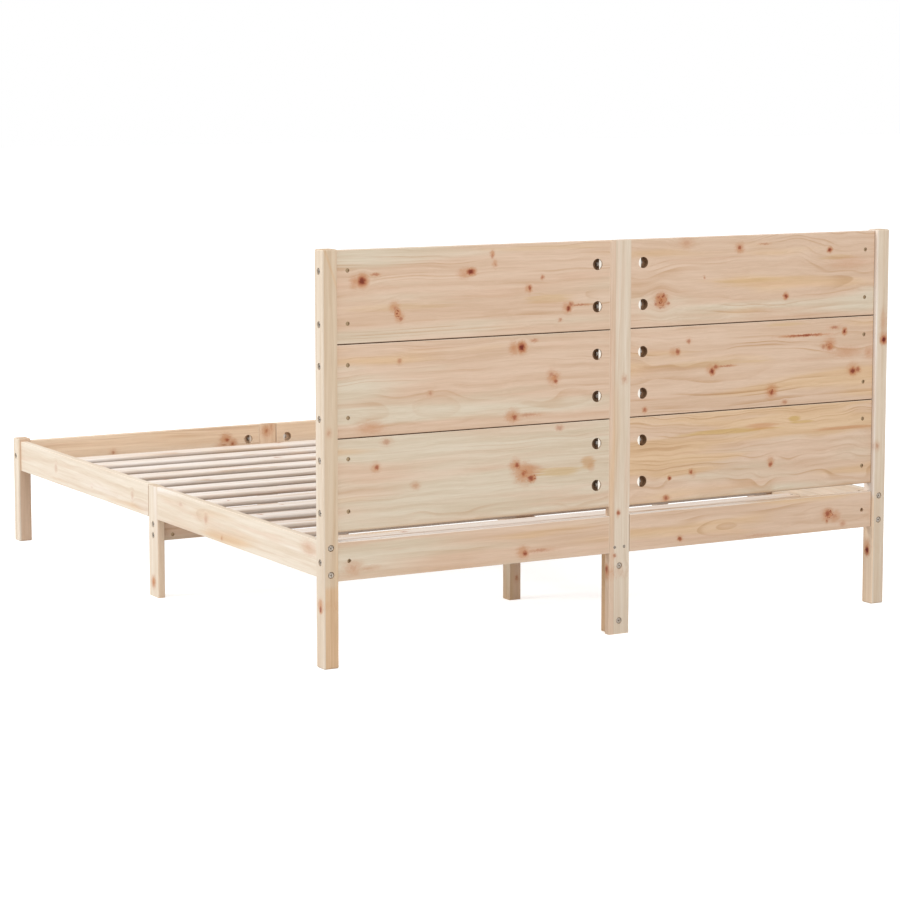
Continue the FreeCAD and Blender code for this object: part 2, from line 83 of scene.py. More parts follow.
USUAL_KNOT = (0.0, 0.0, 0.005, 1.0, 0.0, 0.0, 0.010, 0.0, 0.0)
KNOTS = {
    "headboard_board_3_right": (
        (0.718, 0.911, 0.011, 1.0, 0.95, 0.55, 0.015, 0.018, -0.002),
        (0.426, 0.922, 0.0068, 1.6, 0.95, 0.5, 0.013, 0.016, -0.003),
        (0.366, 0.957, 0.0045, 0.7, 0.45, 0.6, 0.01, 0.0, 0.006),
        (0.357, 0.937, 0.004, 0.8, 0.3, 0.45, 0.01, 0.002, 0.002),
        (0.261, 0.876, 0.0058, 0.8, 0.8, 0.55, 0.012, 0.003, 0.0),
        (0.151, 0.823, 0.007, 0.9, 0.9, 0.5, 0.013, 0.006, 0.002),
        (0.144, 0.832, 0.0048, 1.2, 0.6),
        (0.118, 0.83, 0.0018, 12.0, 0.55),
        (0.616, 0.818, 0.0045, 1.0, 0.6, 0.55, 0.013, 0.004, 0.004),
        (0.63, 0.843, 0.005, 1.0, 0.35, 0.5, 0.014, 0.003, 0.004),
        (0.226, 0.901, 0.0042, 1.0, 0.6, 0.15, 0.008),
        (0.175, 0.796, 0.0036, 1.2, 0.4, 0.1, 0.008),
        (0.683, 0.925, 0.0028, 3.4, 0.5),
    ),
    "headboard_board_2_right": (
        (0.283, 0.734, 0.0105, 0.9, 0.98, 0.6, 0.016, 0.022, -0.001),
        (0.249, 0.749, 0.0034, 2.6, 0.4),
        (0.187, 0.646, 0.0052, 1.0, 0.75, 0.55, 0.018, 0.006, 0.008),
        (0.199, 0.664, 0.005, 1.0, 0.4, 0.35, 0.014),
        (0.619, 0.718, 0.0052, 0.9, 0.4, 0.2, 0.01),
        (0.537, 0.637, 0.0044, 1.0, 0.32, 0.2, 0.01),
        (0.303, 0.564, 0.006, 1.2, 0.75, 0.6, 0.017, 0.005, 0.004),
        (0.262, 0.568, 0.003, 8.0, 0.28, 0.3, 0.006),
        (0.698, 0.566, 0.005, 2.0, 0.0, 0.42, 0.018),
    ),
    "headboard_board_1_right": (
        (0.681, 0.469, 0.0052, 1.0, 0.75, 0.5, 0.013, 0.003, 0.0),
        (0.296, 0.447, 0.006, 1.0, 0.8, 0.65, 0.017, 0.004, 0.0),
        (0.277, 0.425, 0.0052, 1.0, 0.7, 0.6, 0.017),
        (0.257, 0.412, 0.007, 1.2, 0.85, 0.72, 0.026, 0.018, 0.014),
        (0.175, 0.53, 0.0058, 1.5, 0.38),
        (0.577, 0.418, 0.005, 1.4, 0.18, 0.35, 0.01),
        (0.655, 0.528, 0.0055, 1.6, 0.35, 0.2, 0.012),
    ),
    "headboard_board_3_left": (
        (-0.358, 0.955, 0.0055, 1.0, 0.75, 0.6, 0.014, 0.0, -0.002),
        (-0.641, 0.94, 0.0058, 1.0, 0.9, 0.25, 0.01),
        (-0.503, 0.826, 0.0062, 1.0, 0.9, 0.25, 0.01),
        (-0.121, 0.831, 0.02, 0.95, 0.16, 0.8, 0.02),
        (-0.113, 0.84, 0.004, 1.0, 0.65),
        (-0.105, 0.822, 0.0036, 1.0, 0.6),
        (-0.142, 0.822, 0.0036, 1.0, 0.6),
        (-0.25, 0.883, 0.0036, 0.7, 0.4),
        (-0.195, 0.972, 0.006, 1.4, 0.14, 0.28, 0.016),
        (-0.434, 0.962, 0.002, 7.0, 0.34),
        (-0.7, 0.905, 0.005, 3.5, 0.0, 0.25, 0.018),
    ),
    "headboard_board_2_left": (
        (-0.205, 0.725, 0.0045, 1.0, 0.55, 0.2, 0.01),
        (-0.171, 0.7, 0.0062, 1.0, 0.75, 0.4, 0.012, 0.012, 0.0),
        (-0.277, 0.645, 0.008, 0.9, 0.92, 0.45, 0.014, 0.006, 0.003),
        (-0.288, 0.655, 0.005, 1.2, 0.7, 0.2, 0.01),
        (-0.318, 0.656, 0.0019, 12.0, 0.5),
        (-0.462, 0.58, 0.0058, 1.0, 0.85, 0.72, 0.018, 0.0, 0.003),
        (-0.504, 0.553, 0.0045, 1.3, 0.45, 0.2, 0.01),
        (-0.645, 0.688, 0.006, 1.0, 0.6, 0.6, 0.02, 0.0, 0.006),
        (-0.626, 0.69, 0.0056, 1.0, 0.45, 0.3, 0.014),
        (-0.565, 0.722, 0.0024, 22.0, 0.85, 0.3, 0.005),
        (-0.693, 0.727, 0.0068, 0.8, 0.95, 0.3, 0.01),
        (-0.66, 0.738, 0.0034, 3.0, 0.55, 0.3, 0.008),
        (-0.722, 0.622, 0.0085, 1.1, 0.92, 0.45, 0.018, 0.0, 0.004),
        (-0.738, 0.625, 0.006, 1.2, 0.7, 0.2, 0.012),
        (-0.074, 0.559, 0.0055, 1.0, 0.65, 0.2, 0.01),
        (-0.7, 0.672, 0.005, 3.0, 0.0, 0.35, 0.016),
        (-0.772, 0.668, 0.005, 1.0, 0.1, 0.4, 0.016),
    ),
    "headboard_board_1_left": (
        (-0.462, 0.395, 0.0058, 1.0, 0.78, 0.45, 0.012, 0.0, 0.008),
        (-0.215, 0.393, 0.005, 0.9, 0.75, 0.3, 0.01, -0.008, -0.006),
        (-0.15, 0.382, 0.004, 1.0, 0.9),
        (-0.14, 0.332, 0.0056, 1.3, 0.75, 0.4, 0.012, 0.0, -0.004),
    ),
    "head_rail_right": (
        (0.274, 0.228, 0.0062, 1.1, 0.85, 0.62, 0.016, 0.006, 0.004),
        (0.236, 0.232, 0.0028, 10.0, 0.3, 0.34, 0.006),
        (0.747, 0.236, 0.005, 1.6, 0.1, 0.42, 0.018),
        (0.706, 0.231, 0.003, 5.0, 0.1, 0.28, 0.008),
    ),
    "head_rail_left": (
        (-0.645, 0.252, 0.008, 1.1, 0.8, 0.62, 0.018, 0.0, -0.002),
        (-0.668, 0.243, 0.005, 1.2, 0.25, 0.45, 0.016),
        (-0.643, 0.234, 0.004, 0.8, 0.65, 0.2, 0.01),
        (-0.695, 0.222, 0.0055, 1.2, 0.25, 0.4, 0.01),
        (-0.181, 0.226, 0.0046, 1.2, 0.8, 0.3, 0.009),
        (-0.42, 0.214, 0.0024, 14.0, 0.16, 0.15, 0.005),
    ),
    "side_rail_right_foot": (
        (-0.705, 0.258, 0.011, 0.7, 0.16, 0.16, 0.016, 0.004, 0.002),
        (-0.14, 0.254, 0.01, 0.7, 0.18, 0.16, 0.015, 0.004, 0.002),
        (-0.43, 0.238, 0.005, 1.2, 0.08, 0.08, 0.012),
    ),
    "side_rail_right_head": (
        (0.342, 0.258, 0.009, 0.8, 0.26, 0.22, 0.015, 0.004, 0.002),
        (0.437, 0.224, 0.004, 1.0, 0.4, 0.2, 0.009, 0.004, 0.002),
        (0.184, 0.275, 0.004, 2.5, 0.2, 0.1, 0.012),
        (0.93, 0.276, 0.006, 2.2, 0.0, 0.34, 0.018),
    ),
    "foot_rail_right": (
        (0.14, 0.259, 0.006, 1.1, 0.75, 0.7, 0.019, 0.004, 0.002),
        (0.122, 0.246, 0.0052, 1.0, 0.65, 0.7, 0.017),
        (0.15, 0.244, 0.003, 2.5, 0.4, 0.45, 0.012),
        (0.52, 0.246, 0.005, 1.1, 0.45, 0.35, 0.013),
    ),
    "head_post_left": (
        (0.7, -0.815, 0.009, 1.0, 1.0, 0.55, 0.015, 0.01, 0.0),
        (0.745, -0.813, 0.005, 3.0, 0.0, 0.35, 0.012),
        (0.42, -0.798, 0.0046, 1.2, 0.35, 0.3, 0.012),
    ),
    "head_post_right": (
        (0.56, 0.812, 0.004, 1.4, 0.25, 0.25, 0.01),
    ),
    "middle_head_post": (
        (0.306, 0.004, 0.0042, 1.2, 0.75, 0.3, 0.009),
        (0.199, 0.014, 0.004, 1.0, 0.55, 0.2, 0.009),
        (0.64, -0.012, 0.0044, 1.2, 0.3, 0.28, 0.011),
    ),
    "foot_post_right": (),
    "middle_side_post_right": (
        (0.034, 0.0, 0.0036, 1.3, 0.28, 0.8, 0.014, 0.006, 0.0),
    ),
    "middle_foot_post": (
        (0.278, 0.004, 0.0045, 1.1, 0.5, 0.6, 0.02),
        (0.29, -0.012, 0.0045, 2.5, 0.15, 0.4, 0.012),
    ),
}

# Knots that run the other way, into a narrow side: along the grain, into the thickness, and sizes as above

SIDE_KNOTS = {
    "head_post_right": ((0.142, 1.011, 0.0062, 1.2, 0.85, 0.60, 0.014, 0.010, 0.000),),
    "head_post_left": ((0.141, 1.007, 0.0076, 1.4, 1.00, 0.60, 0.014, 0.012, 0.000),),
    "middle_head_post": ((0.165, 1.009, 0.0060, 1.6, 0.80, 0.60, 0.012, -0.008, 0.000),),
}

# Each piece's cast: share of yellow wood, share of grey wood, and how strongly its rings show

CASTS = {
    "headboard_board_3_right": (0.22, 0.50, 0.62),
    "headboard_board_2_right": (0.16, 0.60, 0.50),
    "headboard_board_1_right": (0.10, 0.80, 0.42),
    "headboard_board_3_left": (0.22, 0.24, 0.68),
    "headboard_board_2_left": (0.42, 0.16, 1.05),
    "headboard_board_1_left": (0.58, 0.46, 0.85),
    "head_rail_right": (0.05, 0.72, 0.36),
    "head_rail_left": (0.34, 0.10, 0.80),
    "foot_rail_right": (0.25, 0.00, 0.60),
    "foot_rail_left": (0.30, 0.00, 0.60),
    "side_rail_right_head": (0.20, 0.35, 0.35),
    "side_rail_right_foot": (0.10, 0.40, 0.35),
    "head_post_right": (0.05, 0.40, 0.35),
    "head_post_left": (0.15, 0.30, 0.35),
    "middle_head_post": (0.10, 0.60, 0.35),
    "middle_side_post_right": (0.10, 0.40, 0.35),
    "foot_post_right": (0.10, 0.40, 0.35),
    "centre_leg_at_headboard": (1.00, 0.00, 0.60),
}

# Pieces cut from other wood than the rest: the colour of most of it, and of its pale patches

PIECES_BY_WOOD = {
    ("post_wood", "pale_wood"): ("head_post_right", "head_post_left", "middle_head_post"),
    ("pale_wood", "slat_wood"): ("side_rail_right_head", "side_rail_right_foot", "side_rail_left_head",
                                 "side_rail_left_foot", "middle_side_post_right", "foot_post_right"),
    ("rosy_wood", "rosy_wood"): ("foot_rail_right", "foot_rail_left", "middle_foot_post"),
    ("tan_wood", "tan_wood"): ("centre_leg_at_headboard",),
}
WOODS = {name: woods for woods, names in PIECES_BY_WOOD.items() for name in names}

# Round pockets of the tie rods, in every board and rail: how far above and below the piece's middle they
# lie, 1 or -1 for the face that they open in, and how dark the painted shade inside them is

POCKET_OUT = 0.067
POCKET_RADIUS = 0.014
BOARD_POCKET_SPREAD = 0.052
POCKETS = {name: (BOARD_POCKET_SPREAD, 1, 0.80) for name in HEADBOARD_BOARDS}
POCKETS.update({"head_rail_" + side: (0.0, -1, 0.45) for side in SIDES})
POCKETS.update({"foot_rail_" + side: (0.0, 1, 0.20) for side in SIDES})
POCKETS.update({"side_rail_right_" + end: (0.0, -1, 0.45) for end in ENDS})
POCKETS.update({"side_rail_left_" + end: (0.0, 1, 0.45) for end in ENDS})

# Painted shade where a piece meets another, and under the lowest boards: its two ends, its lower edge and its
# upper edge, from 0 for a free edge to 1 for the darkest line of painted shade

BOARD_ENDS = {"right": (0.0, 0.35), "left": (0.85, 0.15)}
BOARD_EDGES = {3: (1.0, 0.0), 2: (1.0, 1.0), 1: (0.7, 1.0)}
NO_JOINTS = (0.0, 0.0, 0.0, 0.0)
JOINTS = {name: (0.04, 0.04, 0.0, 0.0) for name in RAILS}
JOINTS["head_rail_right"] = (0.0, 0.35, 0.0, 0.0)
JOINTS["head_rail_left"] = (0.85, 0.0, 0.0, 0.0)
JOINTS.update({f"headboard_board_{row}_{side}": BOARD_ENDS[side] + BOARD_EDGES[row]
               for side in SIDES for row in ROWS})

# Large knots with curls: along the grain, across it, radius, and stretch along the grain

WHORLS = {
    "headboard_board_3_left": ((-0.121, 0.831, 0.0205, 0.95),),
    "headboard_board_2_left": ((-0.645, 0.690, 0.0125, 1.05), (-0.462, 0.582, 0.0105, 1.0)),
    "headboard_board_2_right": ((0.190, 0.652, 0.0105, 0.90),),
    "headboard_board_1_right": ((0.292, 0.444, 0.0085, 1.00), (0.275, 0.427, 0.0095, 1.00),
                                (0.254, 0.411, 0.0110, 1.20)),
    "headboard_board_3_right": ((0.624, 0.832, 0.0120, 0.80),),
    "head_rail_left": ((-0.650, 0.250, 0.0130, 1.10),),
}

# Bands of other wood along a piece: place across it, half width, softness, strength and wood, and in some
# where the band ends at its top, and its lean. A band at a piece's edge colours the side there. Some bands
# paint light and shade instead, as their comments say

NO_TOP = 9.0
USUAL_BAND = (0.0, 0.001, 0.001, 1.0, "pink_wood", NO_TOP, 0.0)
BANDS = {
    "middle_head_post": ((0.0255, 0.0075, 0.003, 0.80, "pink_wood"),
                         (0.0165, 0.0008, 0.002, 0.25, "late_wood")),
    # Darker wood over the front and back faces leaves the sides a paler cream: partly the wood's tone, partly
    # painted sheen on the sides
    "head_post_right": ((0.805, 0.0172, 0.002, 0.85, "toned_wood"),
                        (0.465, 0.0015, 0.003, 0.60, "tan_wood", NO_TOP, 0.36),
                        (0.805, 0.0172, 0.002, 0.90, "tan_wood", 0.197),
                        (0.808, 0.0005, 0.002, 0.25, "late_wood", 0.197)),
    "head_post_left": ((-0.805, 0.0060, 0.006, 0.50, "toned_wood"),
                       # Painted highlight on the eased corner beside the boards
                       (-0.7885, 0.0024, 0.001, 0.95, "slat_wood"),
                       (-0.786, 0.0050, 0.001, 1.00, "rosy_wood", 0.290)),
    # Pink wood over the front and back faces leaves the sides pale: partly the wood's tone, partly painted
    # sheen on the sides
    "foot_post_right": ((0.804, 0.0165, 0.002, 0.95, "pink_wood"),),
    "middle_side_post_right": ((0.030, 0.0012, 0.001, 0.95, "rosy_wood"),),
}
# Painted light on the head rails' top edge and top face, under the headboard
BANDS.update({"head_rail_" + side: ((0.300, 0.0012, 0.0008, 1.00, "slat_wood"),) for side in SIDES})
# Painted shade along the lowest boards' lower edge, where the rounded edge faces down
BANDS.update({"headboard_board_1_" + side: ((0.322, 0.0010, 0.0075, 0.40, "late_wood"),) for side in SIDES})

# Patches of other wood: along the grain, across it, half length, half width, strength, and its wood

PATCHES = {
    "headboard_board_1_right": ((0.248, 0.430, 0.030, 0.017, 0.40, "knot_glow"),
                                (0.176, 0.422, 0.075, 0.013, 0.52, "honey_wood"),
                                (0.092, 0.437, 0.022, 0.020, 0.40, "honey_wood"),
                                (0.092, 0.440, 0.022, 0.018, 0.28, "knot_glow"),
                                (0.083, 0.426, 0.013, 0.015, 0.28, "knot_glow")),
    "headboard_board_3_right": ((0.205, 0.849, 0.080, 0.015, 0.38, "honey_wood"),
                                (0.620, 0.846, 0.170, 0.010, 0.22, "honey_wood"),
                                (0.220, 0.973, 0.200, 0.007, 0.25, "honey_wood")),
    "headboard_board_2_left": ((-0.265, 0.664, 0.180, 0.011, 0.34, "honey_wood"),
                               (-0.505, 0.754, 0.080, 0.006, 0.38, "honey_wood")),
    "headboard_board_3_left": ((-0.665, 0.921, 0.060, 0.007, 0.32, "honey_wood"),
                               (-0.390, 0.870, 0.110, 0.007, 0.30, "honey_wood")),
    "headboard_board_1_left": ((-0.320, 0.489, 0.165, 0.008, 0.80, "honey_wood"),
                               (-0.430, 0.495, 0.060, 0.009, 0.50, "knot_glow"),
                               (-0.536, 0.507, 0.021, 0.010, 0.90, "honey_wood"),
                               (-0.565, 0.499, 0.035, 0.004, 0.70, "honey_wood"),
                               (-0.700, 0.474, 0.115, 0.006, 0.50, "knot_glow")),
}

# How far the grain of a piece waves

WAVES = {
    "headboard_board_3_right": 0.40,
    "headboard_board_2_right": 0.50,
    "headboard_board_1_right": 0.40,
    "headboard_board_3_left": 0.80,
    "headboard_board_2_left": 0.60,
    "headboard_board_1_left": 0.80,
    "head_rail_left": 0.40,
}


# What a user may change


def colour(name, description, red, green, blue):
    """A colour among the values of the bed"""
    return bpy.props.FloatVectorProperty(name=name, description=description, subtype="COLOR", size=4,
                                         min=0.0, max=1.0, default=(red, green, blue, 1.0))


class PINE_BED_timber(bpy.types.PropertyGroup):
    """Colours and figure of the pine"""

    pink_wood: colour("Pink wood", "Most of the wood between the rings", 0.710, 0.515, 0.375)
    yellow_wood: colour("Yellow wood", "Resin-rich wood, in long patches", 0.725, 0.500, 0.300)
    grey_wood: colour("Grey wood", "Pale sapwood, in long patches", 0.700, 0.590, 0.450)
    late_wood: colour("Late wood", "The dark line of each ring", 0.520, 0.300, 0.150)
    honey_wood: colour("Honey wood", "Short streaks of resin near knots", 0.600, 0.390, 0.150)
    blush_wood: colour("Blush", "Salmon streaks in the wood", 0.690, 0.430, 0.290)
    post_wood: colour("Post wood", "The creamy wood of the head posts", 0.735, 0.615, 0.485)
    # On the right head post this darker wood sets the front and back off from the paler sides, partly as
    # painted sheen on the sides
    toned_wood: colour("Toned wood", "Creamy wood that has gone darker", 0.665, 0.510, 0.355)
    tan_wood: colour("Tan wood", "Tan heartwood low on the posts", 0.680, 0.465, 0.285)
    rosy_wood: colour("Rosy wood", "The light, warm wood of the foot rails", 0.830, 0.640, 0.465)
    end_wood: colour("End grain", "Sawn ends, where the wood looks darker", 0.560, 0.400, 0.260)
    # A painted highlight: the eased edges drawn lighter, as where they catch the light
    rubbed_edge: colour("Rubbed edge", "Eased edges that hands and cloths have polished",
                        0.840, 0.700, 0.560)
    knot_core: colour("Knot core", "The dark middle of a knot", 0.140, 0.012, 0.003)
    knot_wood: colour("Knot wood", "The red-brown wood of a knot, round its middle", 0.370, 0.095, 0.040)
    knot_glow: colour("Knot glow", "The red-orange wood round a knot", 0.540, 0.225, 0.090)
    pale_wood: colour("Pale wood", "The paler wood of the side rails and short posts", 0.790, 0.680, 0.550)
    # Painted shade: the dark lines in the gaps between pieces, inside the pockets and low on the slats' sides
    joint_shade: colour("Joint shade", "Dark lines where pieces meet, and the walls of pockets",
                        0.175, 0.075, 0.022)
    slat_wood: colour("Slat wood", "The paler wood of the slats", 0.885, 0.795, 0.715)
    ring_gap: bpy.props.FloatProperty(
        name="Ring spacing", description="Width of one year's growth", subtype="DISTANCE", unit="LENGTH",
        min=0.001, max=0.02, default=0.0080)
    ring_strength: bpy.props.FloatProperty(
        name="Ring strength", description="How clearly the rings show", subtype="FACTOR",
        min=0.0, max=1.0, default=0.80)
    planing_depth: bpy.props.FloatProperty(
        name="Grain depth", description="How deep the grain can be felt", subtype="DISTANCE", unit="LENGTH",
        min=0.0, max=0.002, default=0.0004)


class PINE_BED_fittings(bpy.types.PropertyGroup):
    """Colours of the steel fittings and the dowels"""

    zinc: colour("Zinc", "Plating of the bolts, nuts, rods and washers", 0.440, 0.390, 0.340)
    dull_zinc: colour("Dull zinc", "Where the plating has gone cloudy", 0.170, 0.135, 0.100)
    barrel_zinc: colour("Yellow zinc", "Plating of the barrel nuts", 0.330, 0.240, 0.145)
    washer_zinc: colour("Washer zinc", "Bright plating of the half-moon washers", 0.780, 0.730, 0.660)
    nut_zinc: colour("Nut zinc", "Grey plating of the nuts on the tie rods", 0.400, 0.385, 0.370)
    thread_pitch: bpy.props.FloatProperty(
        name="Thread pitch", description="From one turn of a thread to the next", subtype="DISTANCE",
        unit="LENGTH", min=0.0002, max=0.005, default=0.00125)
    beech: colour("Beech", "The dowels' wood", 0.520, 0.330, 0.190)


class PINE_BED_studio(bpy.types.PropertyGroup):
    """The floor, the lamps and the camera"""

    floor: colour("Floor", "Colour of the floor", 0.860, 0.860, 0.860)
    room_light: bpy.props.FloatProperty(
        name="Room light", description="Soft light from all round", subtype="FACTOR",
        min=0.0, max=1.0, default=0.66)
    window_power: bpy.props.FloatProperty(
        name="Main lamp", description="Large soft lamp on the right side of the bed", subtype="POWER",
        unit="POWER", min=0.0, max=2000.0, default=418.0)
    head_power: bpy.props.FloatProperty(
        name="Head lamp", description="Soft lamp behind the headboard", subtype="POWER",
        unit="POWER", min=0.0, max=2000.0, default=262.0)
    lens: bpy.props.FloatProperty(
        name="Lens", description="Focal length of the camera", subtype="DISTANCE_CAMERA",
        min=10.0, max=300.0, default=108.52)


# Small helpers for shader trees

# Which of the groups' sockets take a place or a colour, what the figure gives, and which colours all
# timber shares. Every other socket takes a plain value

PLACE_SOCKETS = ("Place", "Bent place", "Middle", "Half size", "Low corner", "High corner", "Reach",
                 "Glow shift", "Seed", "Pith")
FIGURE = ("Rings", "Streaks", "Fibres", "Pores", "Yellow drift", "Grey drift", "Blush")
SHARED_COLOURS = ("Late wood", "End wood", "Blush wood", "Rubbed edge", "Knot core", "Knot glow",
                  "Knot wood", "Joint shade")
COLOUR_SOCKETS = SHARED_COLOURS + ("Most wood", "Yellow wood", "Grey wood", "Bright", "Dull", "Color")


def feed(tree, socket, value):
    """Joins a socket to another, or gives it a value"""
    if isinstance(value, bpy.types.NodeSocket):
        tree.links.new(value, socket)
    else:
        socket.default_value = value


def calc(tree, label, operation, first, second=0.0, third=0.0, clamp=False):
    """A sum with numbers"""
    node = tree.nodes.new("ShaderNodeMath")
    node.label = label
    node.operation = operation
    node.use_clamp = clamp
    feed(tree, node.inputs[0], first)
    feed(tree, node.inputs[1], second)
    feed(tree, node.inputs[2], third)
    return node.outputs[0]


def move(tree, label, operation, first, second=(0.0, 0.0, 0.0)):
    """A sum with places"""
    node = tree.nodes.new("ShaderNodeVectorMath")
    node.label = label
    node.operation = operation
    feed(tree, node.inputs[0], first)
    if operation == "SCALE":
        feed(tree, node.inputs[3], second)
    else:
        feed(tree, node.inputs[1], second)
    if operation in ("LENGTH", "DOT_PRODUCT", "DISTANCE"):
        return node.outputs["Value"]
    return node.outputs["Vector"]


def split(tree, place):
    """The three numbers of a place"""
    node = tree.nodes.new("ShaderNodeSeparateXYZ")
    feed(tree, node.inputs[0], place)
    return node.outputs["X"], node.outputs["Y"], node.outputs["Z"]


def join(tree, first, second, third):
    """A place from three numbers"""
    node = tree.nodes.new("ShaderNodeCombineXYZ")
    feed(tree, node.inputs[0], first)
    feed(tree, node.inputs[1], second)
    feed(tree, node.inputs[2], third)
    return node.outputs[0]


def cloud(tree, label, place, detail=2.0, roughness=0.5):
    """Soft noise from 0 to 1 at a place that is already scaled"""
    node = tree.nodes.new("ShaderNodeTexNoise")
    node.label = label
    node.noise_dimensions = "3D"
    feed(tree, node.inputs["Vector"], place)
    node.inputs["Scale"].default_value = 1.0
    node.inputs["Detail"].default_value = detail
    node.inputs["Roughness"].default_value = roughness
    return node.outputs[0]


def grain(tree, label, place, size, detail=2.0, roughness=0.5):
    """Soft noise with its own count of waves in a metre along each axis"""
    return cloud(tree, label, move(tree, label + " size", "MULTIPLY", place, size), detail, roughness)


def shake(tree, label, noise, size, value):
    """A value moved either way by noise"""
    moved = calc(tree, label, "MULTIPLY_ADD", noise, size, value)
    return calc(tree, label + " both ways", "SUBTRACT", moved, size / 2)


def ease(tree, label, value, low, high, to_low=0.0, to_high=1.0):
    """A soft step from one number to another"""
    node = tree.nodes.new("ShaderNodeMapRange")
    node.label = label
    node.interpolation_type = "SMOOTHSTEP"
    feed(tree, node.inputs["Value"], value)
    feed(tree, node.inputs["From Min"], low)
    feed(tree, node.inputs["From Max"], high)
    feed(tree, node.inputs["To Min"], to_low)
    feed(tree, node.inputs["To Max"], to_high)
    return node.outputs[0]


def tint(tree, label, share, first, second, way="MIX"):
    """One colour laid over another"""
    node = tree.nodes.new("ShaderNodeMix")
    node.label = label
    node.data_type = "RGBA"
    node.blend_type = way
    feed(tree, node.inputs[0], share)
    feed(tree, node.inputs[6], first)
    feed(tree, node.inputs[7], second)
    return node.outputs[2]


def add_sockets(group, labels, way):
    """Named sockets of a group, which take places, colours or plain values"""
    for label in labels:
        kind = "NodeSocketFloat"
        if label in PLACE_SOCKETS:
            kind = "NodeSocketVector"
        if label in COLOUR_SOCKETS:
            kind = "NodeSocketColor"
        group.interface.new_socket(name=label, in_out=way, socket_type=kind)


def shader_group(name, inputs, outputs):
    """Turns a function that draws a group into one that gives the group, drawn at its first use"""

    def wrap(draw):
        def give():
            group = bpy.data.node_groups.get(name)
            if group is None:
                group = bpy.data.node_groups.new(name, "ShaderNodeTree")
                add_sockets(group, inputs, "INPUT")
                add_sockets(group, outputs, "OUTPUT")
                taken = group.nodes.new("NodeGroupInput").outputs
                given = group.nodes.new("NodeGroupOutput").inputs
                draw(group, taken, given)
                lay_out(group)
            return group

        return give

    return wrap


def use_group(tree, group, named=(), **values):
    """One use of a group, with values by socket name. An underscore stands for a space"""
    node = tree.nodes.new("ShaderNodeGroup")
    node.node_tree = group
    node.label = group.name
    for name, value in {**dict(named), **values}.items():
        feed(tree, node.inputs[name.replace("_", " ")], value)
    return node.outputs


def lay_out(tree):
    """Puts each node right of the ones that feed it"""
    column = {node.name: 0 for node in tree.nodes}
    for _ in tree.nodes:
        moved = False
        for link in tree.links:
            wanted = column[link.from_node.name] + 1
            if column[link.to_node.name] < wanted:
                column[link.to_node.name] = wanted
                moved = True
        if not moved:
            break
    rows = {}
    for node in tree.nodes:
        place = column[node.name]
        rows[place] = rows.get(place, 0) + 1
        node.location = (220 * place, -220 * rows[place])


# Shader groups, each built once

GROOVE_SHADE = (0.10, 0.10, 0.10, 1.0)


@shader_group("Knot",
              ("Place", "Bent place", "Core", "Glow", "Middle", "Radius", "Reach", "Core strength",
               "Glow strength", "Glow radius", "Glow shift"),
              ("Bent place", "Core", "Glow"))
def knot_group(group, taken, given):
    """A knot: bends the grain round itself, and adds to the core and glow of the knots before it"""
    away = move(group, "from the middle", "SUBTRACT", taken["Place"], taken["Middle"])
    near = move(group, "stretched along the grain", "MULTIPLY", away, taken["Reach"])
    gap = move(group, "distance", "LENGTH", near)
    radii = calc(group, "distance in radii", "DIVIDE", gap, taken["Radius"])
    core = ease(group, "core", radii, 1.45, 0.35)
    core = calc(group, "core strength", "MULTIPLY", core, taken["Core strength"])
    given_core = calc(group, "darkest core", "MAXIMUM", core, taken["Core"])
    shifted = move(group, "from the glow's middle", "SUBTRACT", near, taken["Glow shift"])
    glow_gap = move(group, "glow distance", "LENGTH", shifted)
    glow_radii = calc(group, "glow distance in radii", "DIVIDE", glow_gap, taken["Glow radius"])
    streaked = grain(group, "streaks in the glow", taken["Place"], (60.0, 260.0, 260.0))
    glow_radii = shake(group, "ragged glow", streaked, 0.9, glow_radii)
    ripple = calc(group, "rings inside", "SINE", calc(group, "ring count", "MULTIPLY", glow_radii, 11.0))
    ripple = calc(group, "ring depth", "MULTIPLY_ADD", ripple, 0.06, 0.94)
    glow = ease(group, "glow", glow_radii, 1.55, 0.10)
    glow = calc(group, "ringed glow", "MULTIPLY", glow, ripple)
    glow = calc(group, "glow strength", "MULTIPLY", glow, taken["Glow strength"])
    glow = calc(group, "stronger glow", "MULTIPLY", glow, 1.25)
    halo = ease(group, "red rim", radii, 2.2, 0.9)
    halo = calc(group, "rim strength", "MULTIPLY", halo, taken["Core strength"])
    glow = calc(group, "glow or rim", "MAXIMUM", glow, calc(group, "most of the rim", "MULTIPLY", halo, 0.80))
    given_glow = calc(group, "strongest glow", "MAXIMUM", glow, taken["Glow"])
    squeeze = ease(group, "grain round the knot", radii, 3.4, 0.0, 0.0, 0.80)
    push = move(group, "aside only", "MULTIPLY", away, (0.0, 1.0, 0.0))
    push = move(group, "pushed aside", "SCALE", push, squeeze)
    bent = move(group, "bent grain", "SUBTRACT", taken["Bent place"], push)
    feed(group, given["Bent place"], bent)
    feed(group, given["Core"], given_core)
    feed(group, given["Glow"], given_glow)


